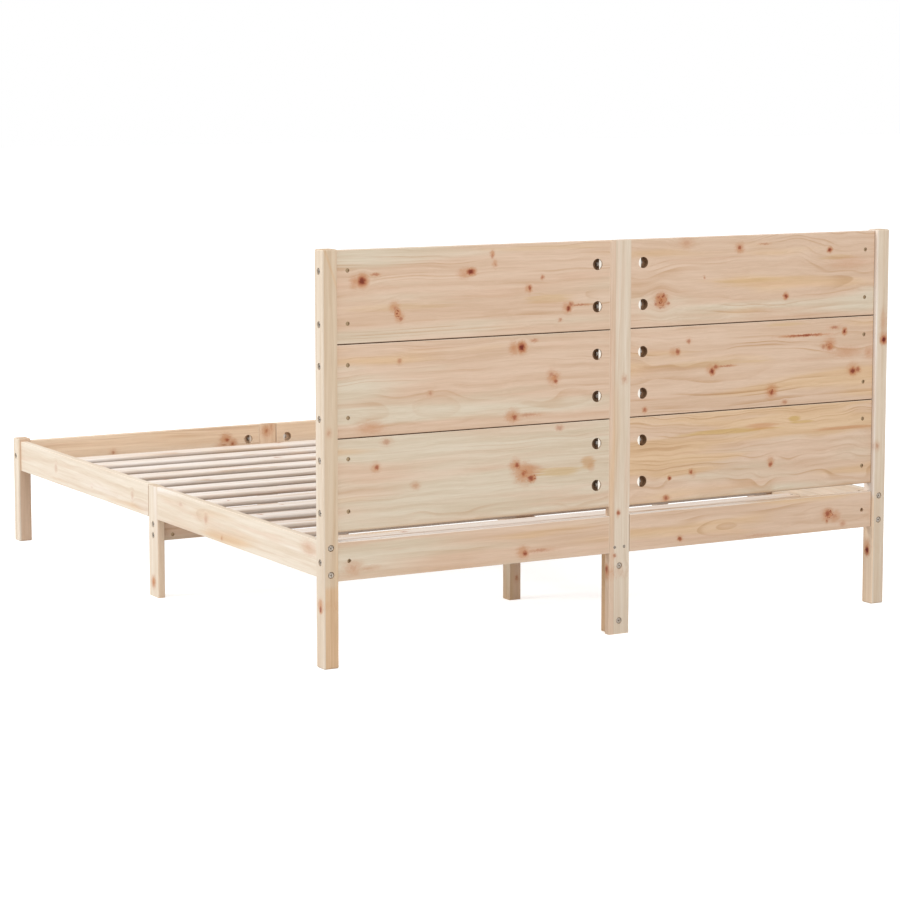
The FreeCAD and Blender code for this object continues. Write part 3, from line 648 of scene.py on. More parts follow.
@shader_group("Whorl",
              ("Place", "Core", "Glow", "Middle", "Radius", "Reach"),
              ("Core", "Glow"))
def whorl_group(group, taken, given):
    """A large knot cut through its curls: a red disc with broken dark arcs"""
    away = move(group, "from the middle", "SUBTRACT", taken["Place"], taken["Middle"])
    near = move(group, "stretched along the grain", "MULTIPLY", away, taken["Reach"])
    gap = move(group, "distance", "LENGTH", near)
    radii = calc(group, "distance in radii", "DIVIDE", gap, taken["Radius"])
    shaken = grain(group, "uneven arcs", taken["Place"], (95.0, 95.0, 95.0))
    radii = shake(group, "shaken distance", shaken, 0.8, radii)
    shaken = calc(group, "more shaken", "MULTIPLY_ADD", shaken, 0.9, radii)
    arcs = calc(group, "arcs", "SINE", calc(group, "arc count", "MULTIPLY", shaken, 13.0))
    arcs = ease(group, "thin arcs", arcs, 0.25, 0.95)
    broken = grain(group, "breaks", taken["Place"], (75.0, 75.0, 75.0), 1.0)
    broken = ease(group, "broken arcs", broken, 0.40, 0.60)
    inside = ease(group, "inside", radii, 1.20, 0.90)
    arcs = calc(group, "arcs that are left", "MULTIPLY", arcs, broken)
    arcs = calc(group, "arcs inside", "MULTIPLY", arcs, inside)
    arcs = calc(group, "arc strength", "MULTIPLY", arcs, 0.85)
    disc = ease(group, "soft disc", radii, 1.25, 0.55)
    disc = calc(group, "disc", "MULTIPLY", disc, 0.80)
    feed(group, given["Core"], calc(group, "darkest core", "MAXIMUM", arcs, taken["Core"]))
    feed(group, given["Glow"], calc(group, "strongest glow", "MAXIMUM", disc, taken["Glow"]))


@shader_group("Grain band",
              ("Place", "Middle line", "Lean", "Half width", "Softness", "Strength", "Top"),
              ("Band",))
def band_group(group, taken, given):
    """A band of other wood that runs along a piece, straight or leaning"""
    along, across, _ = split(group, taken["Place"])
    sway = grain(group, "slow sway", taken["Place"], (3.0, 6.0, 6.0))
    across = shake(group, "swayed", sway, 0.004, across)
    middle = calc(group, "middle here", "MULTIPLY_ADD", along, taken["Lean"], taken["Middle line"])
    away = calc(group, "either side", "ABSOLUTE", calc(group, "from the middle", "SUBTRACT", across, middle))
    beyond = calc(group, "beyond the band", "SUBTRACT", away, taken["Half width"])
    band = ease(group, "band", beyond, taken["Softness"], 0.0)
    over = calc(group, "over the top", "SUBTRACT", along, taken["Top"])
    band = calc(group, "below the top", "MULTIPLY", band, ease(group, "soft top", over, 0.006, -0.012))
    feed(group, given["Band"], calc(group, "band strength", "MULTIPLY", band, taken["Strength"]))


@shader_group("Wood patch",
              ("Place", "Middle", "Half size", "Strength"),
              ("Patch",))
def patch_group(group, taken, given):
    """A patch of other wood with ragged ends along the grain"""
    away = move(group, "from the middle", "SUBTRACT", taken["Place"], taken["Middle"])
    gap = move(group, "distance", "LENGTH", move(group, "in half sizes", "DIVIDE", away, taken["Half size"]))
    ragged = grain(group, "ragged", taken["Place"], (12.0, 210.0, 210.0))
    gap = shake(group, "ragged distance", ragged, 1.3, gap)
    patch = ease(group, "patch", gap, 1.15, 0.45)
    feed(group, given["Patch"], calc(group, "patch strength", "MULTIPLY", patch, taken["Strength"]))


@shader_group("Pine figure",
              ("Place", "Bent place", "Seed", "Pith", "Ring spacing", "Waves"),
              FIGURE)
def figure_group(group, taken, given):
    """The figure of sawn pine: year rings round a far-off pith, streaks and fibres along the grain"""
    straight = move(group, "this piece's wood, straight", "ADD", taken["Place"], taken["Seed"])
    wave = grain(group, "waves", straight, (6.0, 11.0, 11.0), 1.0)
    wave = calc(group, "wave height", "MULTIPLY", calc(group, "both ways", "SUBTRACT", wave, 0.5), 0.042)
    wave = calc(group, "this piece's waves", "MULTIPLY", wave, taken["Waves"])
    waved = move(group, "waved", "ADD", taken["Bent place"], join(group, 0.0, wave, wave))
    seeded = move(group, "this piece's own wood", "ADD", waved, taken["Seed"])
    long_bend = grain(group, "slow bend", seeded, (1.1, 2.0, 2.0), 1.0)
    side_bend = grain(group, "slow sway", seeded, (1.7, 5.0, 5.0), 1.0)
    from_pith = move(group, "from the pith", "SUBTRACT", waved, taken["Pith"])
    _, across, through = split(group, from_pith)
    across = calc(group, "bent across", "ADD", across, calc(group, "bend size", "MULTIPLY", long_bend, 0.048))
    through = calc(group, "swayed", "ADD", through, calc(group, "sway size", "MULTIPLY", side_bend, 0.028))
    radius = move(group, "ring radius", "LENGTH", join(group, 0.0, across, through))
    years = calc(group, "years", "MULTIPLY", radius, 75.0)
    uneven = cloud(group, "uneven years", join(group, 7.0, years, 3.0), 1.0)
    years = calc(group, "year", "DIVIDE", radius, taken["Ring spacing"])
    years = calc(group, "wet and dry years", "MULTIPLY_ADD", uneven, 2.2, years)
    season = calc(group, "season", "FRACT", years)
    summer = ease(group, "towards autumn", season, 0.45, 0.90)
    winter = ease(group, "winter stop", season, 1.0, 0.92)
    ring = calc(group, "ring line", "MULTIPLY", summer, winter)
    ring_along = calc(group, "along the ring", "MULTIPLY", split(group, seeded)[0], 3.1)
    ring_number = calc(group, "apart from other rings", "MULTIPLY", calc(group, "ring", "FLOOR", years), 3.7)
    own = cloud(group, "each ring's strength", join(group, ring_along, ring_number, 0.0), 2.0)
    own = ease(group, "rings that show", own, 0.42, 0.60, 0.05, 1.0)
    ring = calc(group, "uneven rings", "MULTIPLY", ring, own)
    patchy = grain(group, "where rings show", straight, (1.6, 17.0, 17.0))
    patchy = ease(group, "ring patches", patchy, 0.40, 0.60, 0.30, 1.0)
    ring = calc(group, "patchy rings", "MULTIPLY", ring, patchy)
    feed(group, given["Rings"], ring)
    feed(group, given["Streaks"], grain(group, "streaks", seeded, (1.9, 62.0, 62.0), 4.0, 0.6))
    feed(group, given["Fibres"], grain(group, "fibres", seeded, (16.0, 820.0, 820.0), 2.0, 0.6))
    pore = grain(group, "pores", seeded, (60.0, 1500.0, 1500.0), 1.0)
    feed(group, given["Pores"], ease(group, "pore specks", pore, 0.66, 0.78))
    feed(group, given["Yellow drift"], grain(group, "yellow patches", straight, (1.5, 15.0, 9.0)))
    moved = move(group, "elsewhere", "ADD", straight, (3.7, 1.9, 5.3))
    feed(group, given["Grey drift"], grain(group, "grey patches", moved, (1.2, 12.0, 7.0)))
    moved = move(group, "elsewhere again", "ADD", straight, (9.1, 4.3, 2.7))
    blush = grain(group, "blush", moved, (2.6, 34.0, 34.0), 3.0)
    feed(group, given["Blush"], ease(group, "blushing streaks", blush, 0.56, 0.72))


@shader_group("Eased edge",
              ("Place", "Middle", "Half size", "Width", "Breaks"),
              ("Edge",))
def edge_group(group, taken, given):
    """The eased edges of a straight piece of timber, from its middle and half size. The pine's painted
    highlight lies along them
    """
    away = move(group, "from the middle", "SUBTRACT", taken["Place"], taken["Middle"])
    away = move(group, "either way", "ABSOLUTE", away)
    inside = move(group, "below each face", "SUBTRACT", taken["Half size"], away)
    first, second, third = split(group, inside)
    low = calc(group, "nearer of two", "MINIMUM", first, second)
    high = calc(group, "farther of two", "MAXIMUM", first, second)
    high = calc(group, "with the third", "MINIMUM", high, third)
    middle = calc(group, "second nearest", "MAXIMUM", low, high)
    ragged = calc(group, "ragged width", "MULTIPLY_ADD", taken["Breaks"], 1.2, 0.4)
    ragged = calc(group, "width here", "MULTIPLY", ragged, taken["Width"])
    feed(group, given["Edge"], ease(group, "edge", middle, ragged, 0.0))


@shader_group("Joint lines",
              ("Place", "Low corner", "High corner", "Width", "First end", "Second end", "Lower edge",
               "Upper edge", "Looks up"),
              ("Joint",))
def joint_group(group, taken, given):
    """Painted shade where a piece meets its neighbours: dark lines at its ends and its long edges, and on the
    top face inside a seam
    """
    above = move(group, "above the low corner", "SUBTRACT", taken["Place"], taken["Low corner"])
    below = move(group, "below the high corner", "SUBTRACT", taken["High corner"], taken["Place"])
    along_low, across_low = split(group, above)[:2]
    along_high = split(group, below)[0]
    joint = calc(group, "top face", "MULTIPLY", taken["Upper edge"], taken["Looks up"])
    for label, gap in (("First end", along_low), ("Second end", along_high), ("Lower edge", across_low)):
        line = ease(group, label, gap, taken["Width"], 0.0)
        line = calc(group, label + " strength", "MULTIPLY", line, taken[label])
        joint = calc(group, "darkest line", "MAXIMUM", joint, line)
    feed(group, given["Joint"], joint)


@shader_group("Pocket inside",
              ("Place", "Middle", "Spread", "Radius", "Open side"),
              ("Inside",))
def pocket_group(group, taken, given):
    """Painted shade inside a round pocket, on both sides of the bed's middle line"""
    along, across, through = split(group, taken["Place"])
    middle_along, middle_across, face = split(group, taken["Middle"])
    along = calc(group, "either side", "ABSOLUTE", along)
    along = calc(group, "along from the pocket", "SUBTRACT", along, middle_along)
    across = calc(group, "from the piece's middle", "SUBTRACT", across, middle_across)
    across = calc(group, "above or below", "ABSOLUTE", across)
    across = calc(group, "across from the pocket", "SUBTRACT", across, taken["Spread"])
    away = move(group, "from the pocket's middle", "LENGTH", join(group, along, across, 0.0))
    beyond = calc(group, "beyond the rim", "SUBTRACT", away, taken["Radius"])
    round_mask = ease(group, "within the rim", beyond, 0.0009, 0.0003)
    depth = calc(group, "under the face", "SUBTRACT", face, through)
    depth = calc(group, "depth", "MULTIPLY", depth, taken["Open side"])
    deep = ease(group, "deep enough", depth, 0.0004, 0.0030)
    within = ease(group, "above the other face", depth, 0.0176, 0.0172)
    deep = calc(group, "in the pocket", "MULTIPLY", deep, within)
    feed(group, given["Inside"], calc(group, "inside", "MULTIPLY", round_mask, deep))


@shader_group("Pine surface",
              FIGURE + SHARED_COLOURS + ("Core", "Glow", "Edge", "End", "Yellow share", "Grey share",
                                         "Ring strength", "Most wood", "Yellow wood", "Grey wood",
                                         "Joint"),
              ("Color", "Roughness", "Height"))
def timber_colour_group(group, taken, given):
    """Colour, roughness and height of pine from its figure, knots and ends, with a painted highlight along
    its edges and painted shade in its joints and pockets
    """
    yellow_line = calc(group, "yellow from", "MULTIPLY_ADD", taken["Yellow share"], -0.32, 0.64)
    yellow_end = calc(group, "yellow to", "ADD", yellow_line, 0.15)
    yellow = ease(group, "yellow patches", taken["Yellow drift"], yellow_line, yellow_end)
    grey_line = calc(group, "grey from", "MULTIPLY_ADD", taken["Grey share"], -0.32, 0.64)
    grey_end = calc(group, "grey to", "ADD", grey_line, 0.18)
    grey = ease(group, "grey patches", taken["Grey drift"], grey_line, grey_end)
    wood = tint(group, "pale sapwood", grey, taken["Most wood"], taken["Grey wood"])
    wood = tint(group, "yellow wood", calc(group, "most of the yellow", "MULTIPLY", yellow, 0.85), wood,
                taken["Yellow wood"])
    blush = calc(group, "some blush", "MULTIPLY", taken["Blush"], 0.26)
    wood = tint(group, "blush", blush, wood, taken["Blush wood"])
    rings = calc(group, "ring strength", "MULTIPLY", taken["Rings"], taken["Ring strength"])
    wood = tint(group, "late wood", rings, wood, taken["Late wood"])
    streak = ease(group, "streak tone", taken["Streaks"], 0.32, 0.70, 1.05, 0.93)
    streak_green = calc(group, "streaks less green", "POWER", streak, 1.5)
    streak_blue = calc(group, "streaks less blue", "POWER", streak, 2.1)
    wood = tint(group, "streaks", 1.0, wood, join(group, streak, streak_green, streak_blue), "MULTIPLY")
    fibre = ease(group, "fibre tone", taken["Fibres"], 0.25, 0.75, 1.04, 0.96)
    fibre_blue = calc(group, "fibres less blue", "POWER", fibre, 1.5)
    wood = tint(group, "fibres", 1.0, wood, join(group, fibre, fibre, fibre_blue), "MULTIPLY")
    specks = calc(group, "faint specks", "MULTIPLY", taken["Pores"], 0.16)
    wood = tint(group, "pores", specks, wood, taken["Late wood"])
    # Painted highlight along the eased edges
    wood = tint(group, "painted edge highlights", calc(group, "rubbed", "MULTIPLY", taken["Edge"], 0.82), wood,
                taken["Rubbed edge"])
    wood = tint(group, "knot glow", taken["Glow"], wood, taken["Knot glow"])
    wood = tint(group, "knot wood", taken["Core"], wood, taken["Knot wood"])
    centre = calc(group, "knot middle", "POWER", taken["Core"], 5.5)
    wood = tint(group, "knot core", centre, wood, taken["Knot core"])
    ends = calc(group, "end share", "MULTIPLY", taken["End"], 0.55)
    wood = tint(group, "end grain", ends, wood, taken["End wood"])
    # Painted shade in the joints, inside the pockets and low on the slats' sides
    wood = tint(group, "joints", taken["Joint"], wood, taken["Joint shade"])
    rough = calc(group, "fibre roughness", "MULTIPLY_ADD", taken["Fibres"], 0.16, 0.50)
    rough = calc(group, "smoother late wood", "MULTIPLY_ADD", taken["Rings"], -0.08, rough)
    rough = calc(group, "smoother knots", "MULTIPLY_ADD", taken["Core"], -0.14, rough)
    rough = calc(group, "polished edges", "MULTIPLY_ADD", taken["Edge"], -0.07, rough)
    rough = calc(group, "rough ends", "MULTIPLY_ADD", taken["End"], 0.18, rough)
    rough = calc(group, "dull joints", "MULTIPLY_ADD", taken["Joint"], 0.50, rough, clamp=True)
    height = calc(group, "raised late wood", "MULTIPLY", taken["Rings"], 0.50)
    height = calc(group, "raised fibres", "MULTIPLY_ADD", taken["Fibres"], 0.35, height)
    height = calc(group, "sunk pores", "MULTIPLY_ADD", taken["Pores"], -0.35, height)
    height = calc(group, "knot surface", "MULTIPLY_ADD", taken["Core"], 0.35, height)
    feed(group, given["Color"], wood)
    feed(group, given["Roughness"], rough)
    feed(group, given["Height"], height)


@shader_group("Zinc plating",
              ("Place", "Along", "Pitch", "Thread depth", "Bright", "Dull"),
              ("Color", "Roughness", "Height"))
def plating_group(group, taken, given):
    """Zinc plating: cloudy patches, fine scratches, and a rolled thread with painted shade in its grooves"""
    patches = grain(group, "cloudy patches", taken["Place"], (420.0, 420.0, 420.0), 3.0)
    cloudy = ease(group, "cloudiness", patches, 0.38, 0.68)
    scratch = grain(group, "scratches", taken["Place"], (400.0, 2600.0, 900.0))
    turns = calc(group, "turns", "DIVIDE", taken["Along"], taken["Pitch"])
    thread = calc(group, "thread", "PINGPONG", turns, 0.5)
    thread = calc(group, "thread depth", "MULTIPLY", thread, taken["Thread depth"])
    steel = tint(group, "dull zinc", cloudy, taken["Bright"], taken["Dull"])
    # Painted shade in the thread's grooves
    groove = ease(group, "groove", thread, 0.35, 0.0, 0.0, 0.4)
    groove = calc(group, "grooves only on threads", "MULTIPLY", groove, taken["Thread depth"])
    steel = tint(group, "painted groove shade", groove, steel, GROOVE_SHADE)
    rough = calc(group, "cloudy roughness", "MULTIPLY_ADD", cloudy, 0.18, 0.26)
    rough = calc(group, "scratched roughness", "MULTIPLY_ADD", scratch, 0.12, rough)
    height = calc(group, "scratch height", "MULTIPLY_ADD", scratch, 0.08, thread)
    feed(group, given["Color"], steel)
    feed(group, given["Roughness"], rough)
    feed(group, given["Height"], height)


# Timber. A piece without listed knots grows some, by the first word of its name. A knot or whorl reaches
# further through the wood than along its face, by the share given here

GROWN_KNOTS = {"slat": 2, "side": 3, "foot": 2, "centre": 1, "cross": 3, "middle": 1}
KNOT_WOBBLE = 0.0085
THROUGH = 0.15
PATCH_DEPTH = 0.05
USUAL_WAVE = 0.15
USUAL_RINGS = 0.7
SLAT_YELLOW = 0.25
PINE_GLOSS = 0.25
EDGE_WIDTH = 0.0022
JOINT_WIDTH = 0.0027
STEEL_DEPTH = 0.0004
BEECH_DEPTH = 0.0002
DARK_FLECK = (0.6, 0.5, 0.45, 1.0)


def axis_order(lie):
    """The places of the grain's axes in X, Y, Z"""
    return ["XYZ".index(letter) for letter in lie]


def turned(point, lie):
    """A point as along the grain, across it and through it"""
    return tuple(point[place] for place in axis_order(lie))


def turn_to_grain(tree, vector, lie):
    """The same for a socket"""
    parts = split(tree, vector)
    order = axis_order(lie)
    return join(tree, parts[order[0]], parts[order[1]], parts[order[2]])


def filled(row, usual):
    """A row whose missing last values are the usual ones"""
    return row + usual[len(row):]


def grown_knots(low, high, count, chance):
    """Small knots for a piece that the picture doesn't show closely"""
    knots = []
    for _ in range(count):
        along = chance.uniform(low[0] + 0.03, high[0] - 0.03)
        across = chance.uniform(low[1] + 0.006, high[1] - 0.006)
        radius = chance.uniform(0.0025, 0.0062)
        core = chance.uniform(0.35, 0.85)
        glow = chance.uniform(0.20, 0.55)
        stretch = chance.uniform(0.9, 1.5)
        shift = chance.uniform(-0.006, 0.006)
        knots.append((along, across, radius, stretch, core, glow, radius * 2.3, shift))
    return knots


def knots_of(name, lie, low, high, chance):
    """The sockets' values for each knot of a piece"""
    face = high[2]
    if lie in (ALONG_BED_LENGTH, UPRIGHT_TO_SIDE) and "right" not in name:
        face = low[2]
    knots = KNOTS.get(name)
    if knots is None:
        knots = grown_knots(low, high, GROWN_KNOTS[name.split("_")[0]], chance)
    listed = [(row, False) for row in knots] + [(row, True) for row in SIDE_KNOTS.get(name, ())]
    for row, sideways in listed:
        along, across, radius, stretch, core, glow, glow_radius, shift, side = filled(row, USUAL_KNOT)
        middle = (along, across, face)
        reach = (1.0 / stretch, 1.0, THROUGH)
        glow_shift = (shift / stretch, side, 0.0)
        if sideways:
            middle = (along, high[1], across)
            reach = (1.0 / stretch, THROUGH, 1.0)
            glow_shift = (shift / stretch, 0.0, side)
        yield {"Middle": middle, "Radius": radius, "Reach": reach, "Core strength": core,
               "Glow strength": glow, "Glow radius": glow_radius, "Glow shift": glow_shift}


def knotted(tree, place, name, lie, low, high, chance):
    """The place bent round a piece's knots, and the knots' cores and glow"""
    noise = tree.nodes.new("ShaderNodeTexNoise")
    noise.inputs["Scale"].default_value = 1.0
    noise.inputs["Detail"].default_value = 2.0
    feed(tree, noise.inputs["Vector"], move(tree, "knot roughness size", "SCALE", place, 150.0))
    wobble = move(tree, "either side", "SUBTRACT", noise.outputs["Color"], (0.5, 0.5, 0.5))
    wobble = move(tree, "few millimetres", "SCALE", wobble, KNOT_WOBBLE)
    rough_place = move(tree, "uneven knots", "ADD", place, wobble)
    bent = place
    core = 0.0
    glow = 0.0
    for knot in knots_of(name, lie, low, high, chance):
        outs = use_group(tree, knot_group(), knot, Place=rough_place, Bent_place=bent, Core=core, Glow=glow)
        bent = outs["Bent place"]
        core = outs["Core"]
        glow = outs["Glow"]
    for along, across, radius, stretch in WHORLS.get(name, ()):
        outs = use_group(tree, whorl_group(), Place=place, Core=core, Glow=glow, Radius=radius,
                         Middle=(along, across, high[2]), Reach=(1.0 / stretch, 1.0, THROUGH))
        core = outs["Core"]
        glow = outs["Glow"]
    return bent, core, glow


def shaded(tree, place, normal, name, low, high, middle, slat):
    """Painted shade: the dark lines of a piece's joints, low on a slat's sides and inside the pockets"""
    first_end, second_end, lower_edge, upper_edge = JOINTS.get(name, NO_JOINTS)
    across_normal = split(tree, normal)[1]
    looks_up = ease(tree, "looks up", across_normal, 0.80, 0.98)
    joint = use_group(tree, joint_group(), Place=place, Low_corner=low, High_corner=high, Width=JOINT_WIDTH,
                      First_end=first_end, Second_end=second_end, Lower_edge=lower_edge,
                      Upper_edge=upper_edge, Looks_up=looks_up)["Joint"]
    # Painted shade on a slat's sides, darker towards the bottom
    if slat:
        below = calc(tree, "below the top", "SUBTRACT", high[2], split(tree, place)[2])
        side = ease(tree, "side of a slat", calc(tree, "either side", "ABSOLUTE", across_normal), 0.2, 0.9)
        low_down = ease(tree, "towards the bottom", below, 0.003, 0.012, 0.0, 0.55)
        side = calc(tree, "side shade", "MULTIPLY", side, low_down)
        joint = calc(tree, "shaded joint", "MAXIMUM", joint, side)
    if name in POCKETS:
        spread, side, shade = POCKETS[name]
        inside = use_group(tree, pocket_group(), Place=place, Spread=spread, Radius=POCKET_RADIUS,
                           Middle=(POCKET_OUT, middle[1], high[2] if side > 0 else low[2]),
                           Open_side=side)["Inside"]
        inside = calc(tree, "pocket shade", "MULTIPLY", inside, shade)
        joint = calc(tree, "joints and pockets", "MAXIMUM", joint, inside)
    return joint


def woods_of(tree, place, name, high, timber, slat):
    """Most of a piece's wood, its pale wood and its yellow wood, with bands and patches of other wood"""
    usual = ("slat_wood", "slat_wood") if slat else ("pink_wood", "grey_wood")
    most_wood, pale_wood = WOODS.get(name, usual)
    most = getattr(timber, most_wood)
    pale = getattr(timber, pale_wood)
    golden = timber.yellow_wood
    for row in BANDS.get(name, ()):
        middle, half_width, softness, strength, wood, top, lean = filled(row, USUAL_BAND)
        band = use_group(tree, band_group(), Place=place, Middle_line=middle, Lean=lean, Top=top,
                         Half_width=half_width, Softness=softness, Strength=strength)["Band"]
        most = tint(tree, "band in most wood", band, most, getattr(timber, wood))
        pale = tint(tree, "band in pale wood", band, pale, getattr(timber, wood))
    for along, across, half_length, half_width, strength, wood in PATCHES.get(name, ()):
        patch = use_group(tree, patch_group(), Place=place, Middle=(along, across, high[2]),
                          Half_size=(half_length, half_width, PATCH_DEPTH), Strength=strength)["Patch"]
        most = tint(tree, "patch in most wood", patch, most, getattr(timber, wood))
        pale = tint(tree, "patch in pale wood", patch, pale, getattr(timber, wood))
        golden = tint(tree, "patch in yellow wood", patch, golden, getattr(timber, wood))
    return most, pale, golden


def new_material(label):
    """A material, its tree, its shader and its coordinates"""
    material = bpy.data.materials.new(label)
    material.use_nodes = True
    tree = material.node_tree
    return material, tree, tree.nodes["Principled BSDF"], tree.nodes.new("ShaderNodeTexCoord").outputs


def give_material(name, material):
    """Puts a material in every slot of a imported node"""
    data = nodes[name].data
    if not data.materials:
        data.materials.append(material)
    for place in range(len(data.materials)):
        data.materials[place] = material


def finish(name, material, tree, shader, base, roughness, height, strength, distance):
    """Joins colour, roughness and a bump to a shader, and gives the material to a piece"""
    bump = tree.nodes.new("ShaderNodeBump")
    bump.inputs["Strength"].default_value = strength
    bump.inputs["Distance"].default_value = distance
    feed(tree, bump.inputs["Height"], height)
    feed(tree, shader.inputs["Base Color"], base)
    feed(tree, shader.inputs["Roughness"], roughness)
    feed(tree, shader.inputs["Normal"], bump.outputs["Normal"])
    lay_out(tree)
    give_material(name, material)


def finish_timber(name, lie, number, timber, slat=False):
    """One piece's pine, with its own rings, knots and patches"""
    chance = random.Random(100 + number)
    low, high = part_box(name)
    low = turned(low, lie)
    high = turned(high, lie)
    middle = tuple((a + b) / 2 for a, b in zip(low, high))
    half = tuple((b - a) / 2 for a, b in zip(low, high))
    usual_cast = (chance.uniform(0.20, 0.45), chance.uniform(0.15, 0.45), USUAL_RINGS)
    yellow, grey, rings = CASTS.get(name, usual_cast)
    if slat:
        yellow = yellow * SLAT_YELLOW
    material, tree, shader, source = new_material("Pine " + name.replace("_", " "))
    place = turn_to_grain(tree, source["Object"], lie)
    normal = turn_to_grain(tree, source["Normal"], lie)
    bent, core, glow = knotted(tree, place, name, lie, low, high, chance)
    seed = (chance.uniform(0, 40), chance.uniform(0, 40), chance.uniform(0, 40))
    pith = (0.0, middle[1] + chance.uniform(-0.09, 0.05), middle[2] - chance.uniform(0.035, 0.10))
    figure = use_group(tree, figure_group(), Place=place, Bent_place=bent, Seed=seed, Pith=pith,
                       Ring_spacing=timber.ring_gap, Waves=WAVES.get(name, USUAL_WAVE))
    edge = use_group(tree, edge_group(), Place=place, Middle=middle, Half_size=half, Width=EDGE_WIDTH,
                     Breaks=figure["Streaks"])["Edge"]
    end = move(tree, "ends", "DOT_PRODUCT", normal, (1.0, 0.0, 0.0))
    end = ease(tree, "end grain", calc(tree, "either end", "ABSOLUTE", end), 0.6, 0.95)
    joint = shaded(tree, place, normal, name, low, high, middle, slat)
    most, pale, golden = woods_of(tree, place, name, high, timber, slat)
    named = {label: figure[label] for label in FIGURE}
    named.update({label: getattr(timber, label.lower().replace(" ", "_")) for label in SHARED_COLOURS})
    surface = use_group(tree, timber_colour_group(), named, Core=core, Glow=glow, Edge=edge, End=end,
                        Joint=joint, Yellow_share=yellow, Grey_share=grey, Most_wood=most,
                        Yellow_wood=golden, Grey_wood=pale, Ring_strength=timber.ring_strength * rings)
    shader.inputs["Specular IOR Level"].default_value = PINE_GLOSS
    finish(name, material, tree, shader, surface["Color"], surface["Roughness"], surface["Height"], 0.5,
           timber.planing_depth)


def finish_all(pieces, first_number, context, slat=False):
    """Finishes a group of timber pieces"""
    for place, (name, lie) in enumerate(pieces.items()):
        if name not in nodes:
            raise RuntimeError("the frame has no piece named " + name)
        finish_timber(name, lie, first_number + place, context.scene.pine_bed_timber, slat)


# Fittings


def finish_steel(name, fittings, bright, dull):
    """Zinc-plated steel, with a thread along the tie rods"""
    material, tree, shader, source = new_material("Zinc-plated steel " + name.replace("_", " "))
    parts = split(tree, source["Object"])
    along = parts[2]
    threaded = 0.0
    if name == "tie_rods":
        threaded = 1.0
        at_side = calc(tree, "rods of the side rails", "ABSOLUTE", parts[0])
        at_side = calc(tree, "at the sides", "GREATER_THAN", at_side, 0.5)
        crosswise = calc(tree, "other rods", "SUBTRACT", 1.0, at_side)
        along = calc(tree, "along the bed", "MULTIPLY", parts[1], at_side)
        along = calc(tree, "along each rod", "MULTIPLY_ADD", parts[0], crosswise, along)
    plating = use_group(tree, plating_group(), Place=source["Object"], Along=along,
                        Pitch=fittings.thread_pitch, Thread_depth=threaded, Bright=bright, Dull=dull)
    shader.inputs["Metallic"].default_value = 1.0
    finish(name, material, tree, shader, plating["Color"], plating["Roughness"], plating["Height"], 0.6,
           STEEL_DEPTH)


def finish_dowels(fittings):
    """Turned beech with fine dark flecks"""
    material, tree, shader, source = new_material("Beech dowel")
    flecks = grain(tree, "flecks", source["Object"], (350.0, 1500.0, 1500.0))
    shade = ease(tree, "fleck tone", flecks, 0.50, 0.72)
    dark = [part * share for part, share in zip(fittings.beech, DARK_FLECK)]
    rough = calc(tree, "fleck roughness", "MULTIPLY_ADD", flecks, 0.2, 0.45)
    finish("dowels", material, tree, shader, tint(tree, "dark flecks", shade, fittings.beech, dark), rough,
           flecks, 0.4, BEECH_DEPTH)


# Studio. Each lamp has its place and the point that it looks at, and the camera's angles are in radians

FLOOR_SIZE = 80.0
FLOOR_SHADE = 0.75
FLOOR_GLOW = 0.56
LAMP_SIZE = 3.6
MAIN_LAMP = ((7.2, -1.6, 6.0), (0.3, 0.0, 0.3))
HEAD_LAMP = ((1.2, 8.2, 5.6), (0.0, 1.0, 0.6))
CAMERA_PLACE = (3.6443, 6.6157, 1.3999)
CAMERA_DOWN = 0.113
CAMERA_ASIDE = 0.5157
CAMERA_SHIFT = (-0.0047, -0.08)
WHITE = (1.0, 1.0, 1.0, 1.0)


def seen_by_the_eye(tree):
    """1 for what the camera sees, straight or in gloss or glass, and 0 for the light on the object"""
    path = tree.nodes.new("ShaderNodeLightPath")
    seen = path.outputs["Is Camera Ray"]
    seen = calc(tree, "seen or mirrored", "MAXIMUM", seen, path.outputs["Is Glossy Ray"])
    return calc(tree, "or through glass", "MAXIMUM", seen, path.outputs["Is Transmission Ray"])


def make_world(studio):
    """A white room that lights the bed softly"""
    world = bpy.data.worlds.new("White room")
    bpy.context.scene.world = world
    world.use_nodes = True
    tree = world.node_tree
    tree.nodes.clear()
    light = tree.nodes.new("ShaderNodeBackground")
    light.inputs["Color"].default_value = WHITE
    light.inputs["Strength"].default_value = studio.room_light
    white = tree.nodes.new("ShaderNodeBackground")
    white.inputs["Color"].default_value = WHITE
    white.inputs["Strength"].default_value = 1.0
    mix = tree.nodes.new("ShaderNodeMixShader")
    out = tree.nodes.new("ShaderNodeOutputWorld")
    feed(tree, mix.inputs[0], seen_by_the_eye(tree))
    tree.links.new(light.outputs[0], mix.inputs[1])
    tree.links.new(white.outputs[0], mix.inputs[2])
    tree.links.new(mix.outputs[0], out.inputs["Surface"])
    lay_out(tree)


def make_floor(studio):
    """A pale floor that looks white and still takes a soft shadow"""
    bpy.ops.object.select_all(action="DESELECT")
    bpy.ops.mesh.primitive_plane_add(size=FLOOR_SIZE, location=(0.0, 0.0, 0.0))
    floor = bpy.context.object
    floor.name = "floor"
    material = bpy.data.materials.new("Pale floor")
    material.use_nodes = True
    tree = material.node_tree
    shader = tree.nodes["Principled BSDF"]
    seen = seen_by_the_eye(tree)
    unseen = [part * FLOOR_SHADE for part in studio.floor[:3]] + [1.0]
    feed(tree, shader.inputs["Base Color"], tint(tree, "paler to the eye", seen, unseen, studio.floor))
    glow = calc(tree, "glow to the eye", "MULTIPLY", seen, FLOOR_GLOW)
    feed(tree, shader.inputs["Emission Strength"], glow)
    shader.inputs["Emission Color"].default_value = WHITE
    shader.inputs["Roughness"].default_value = 0.9
    shader.inputs["Specular IOR Level"].default_value = 0.1
    lay_out(tree)
    floor.data.materials.append(material)


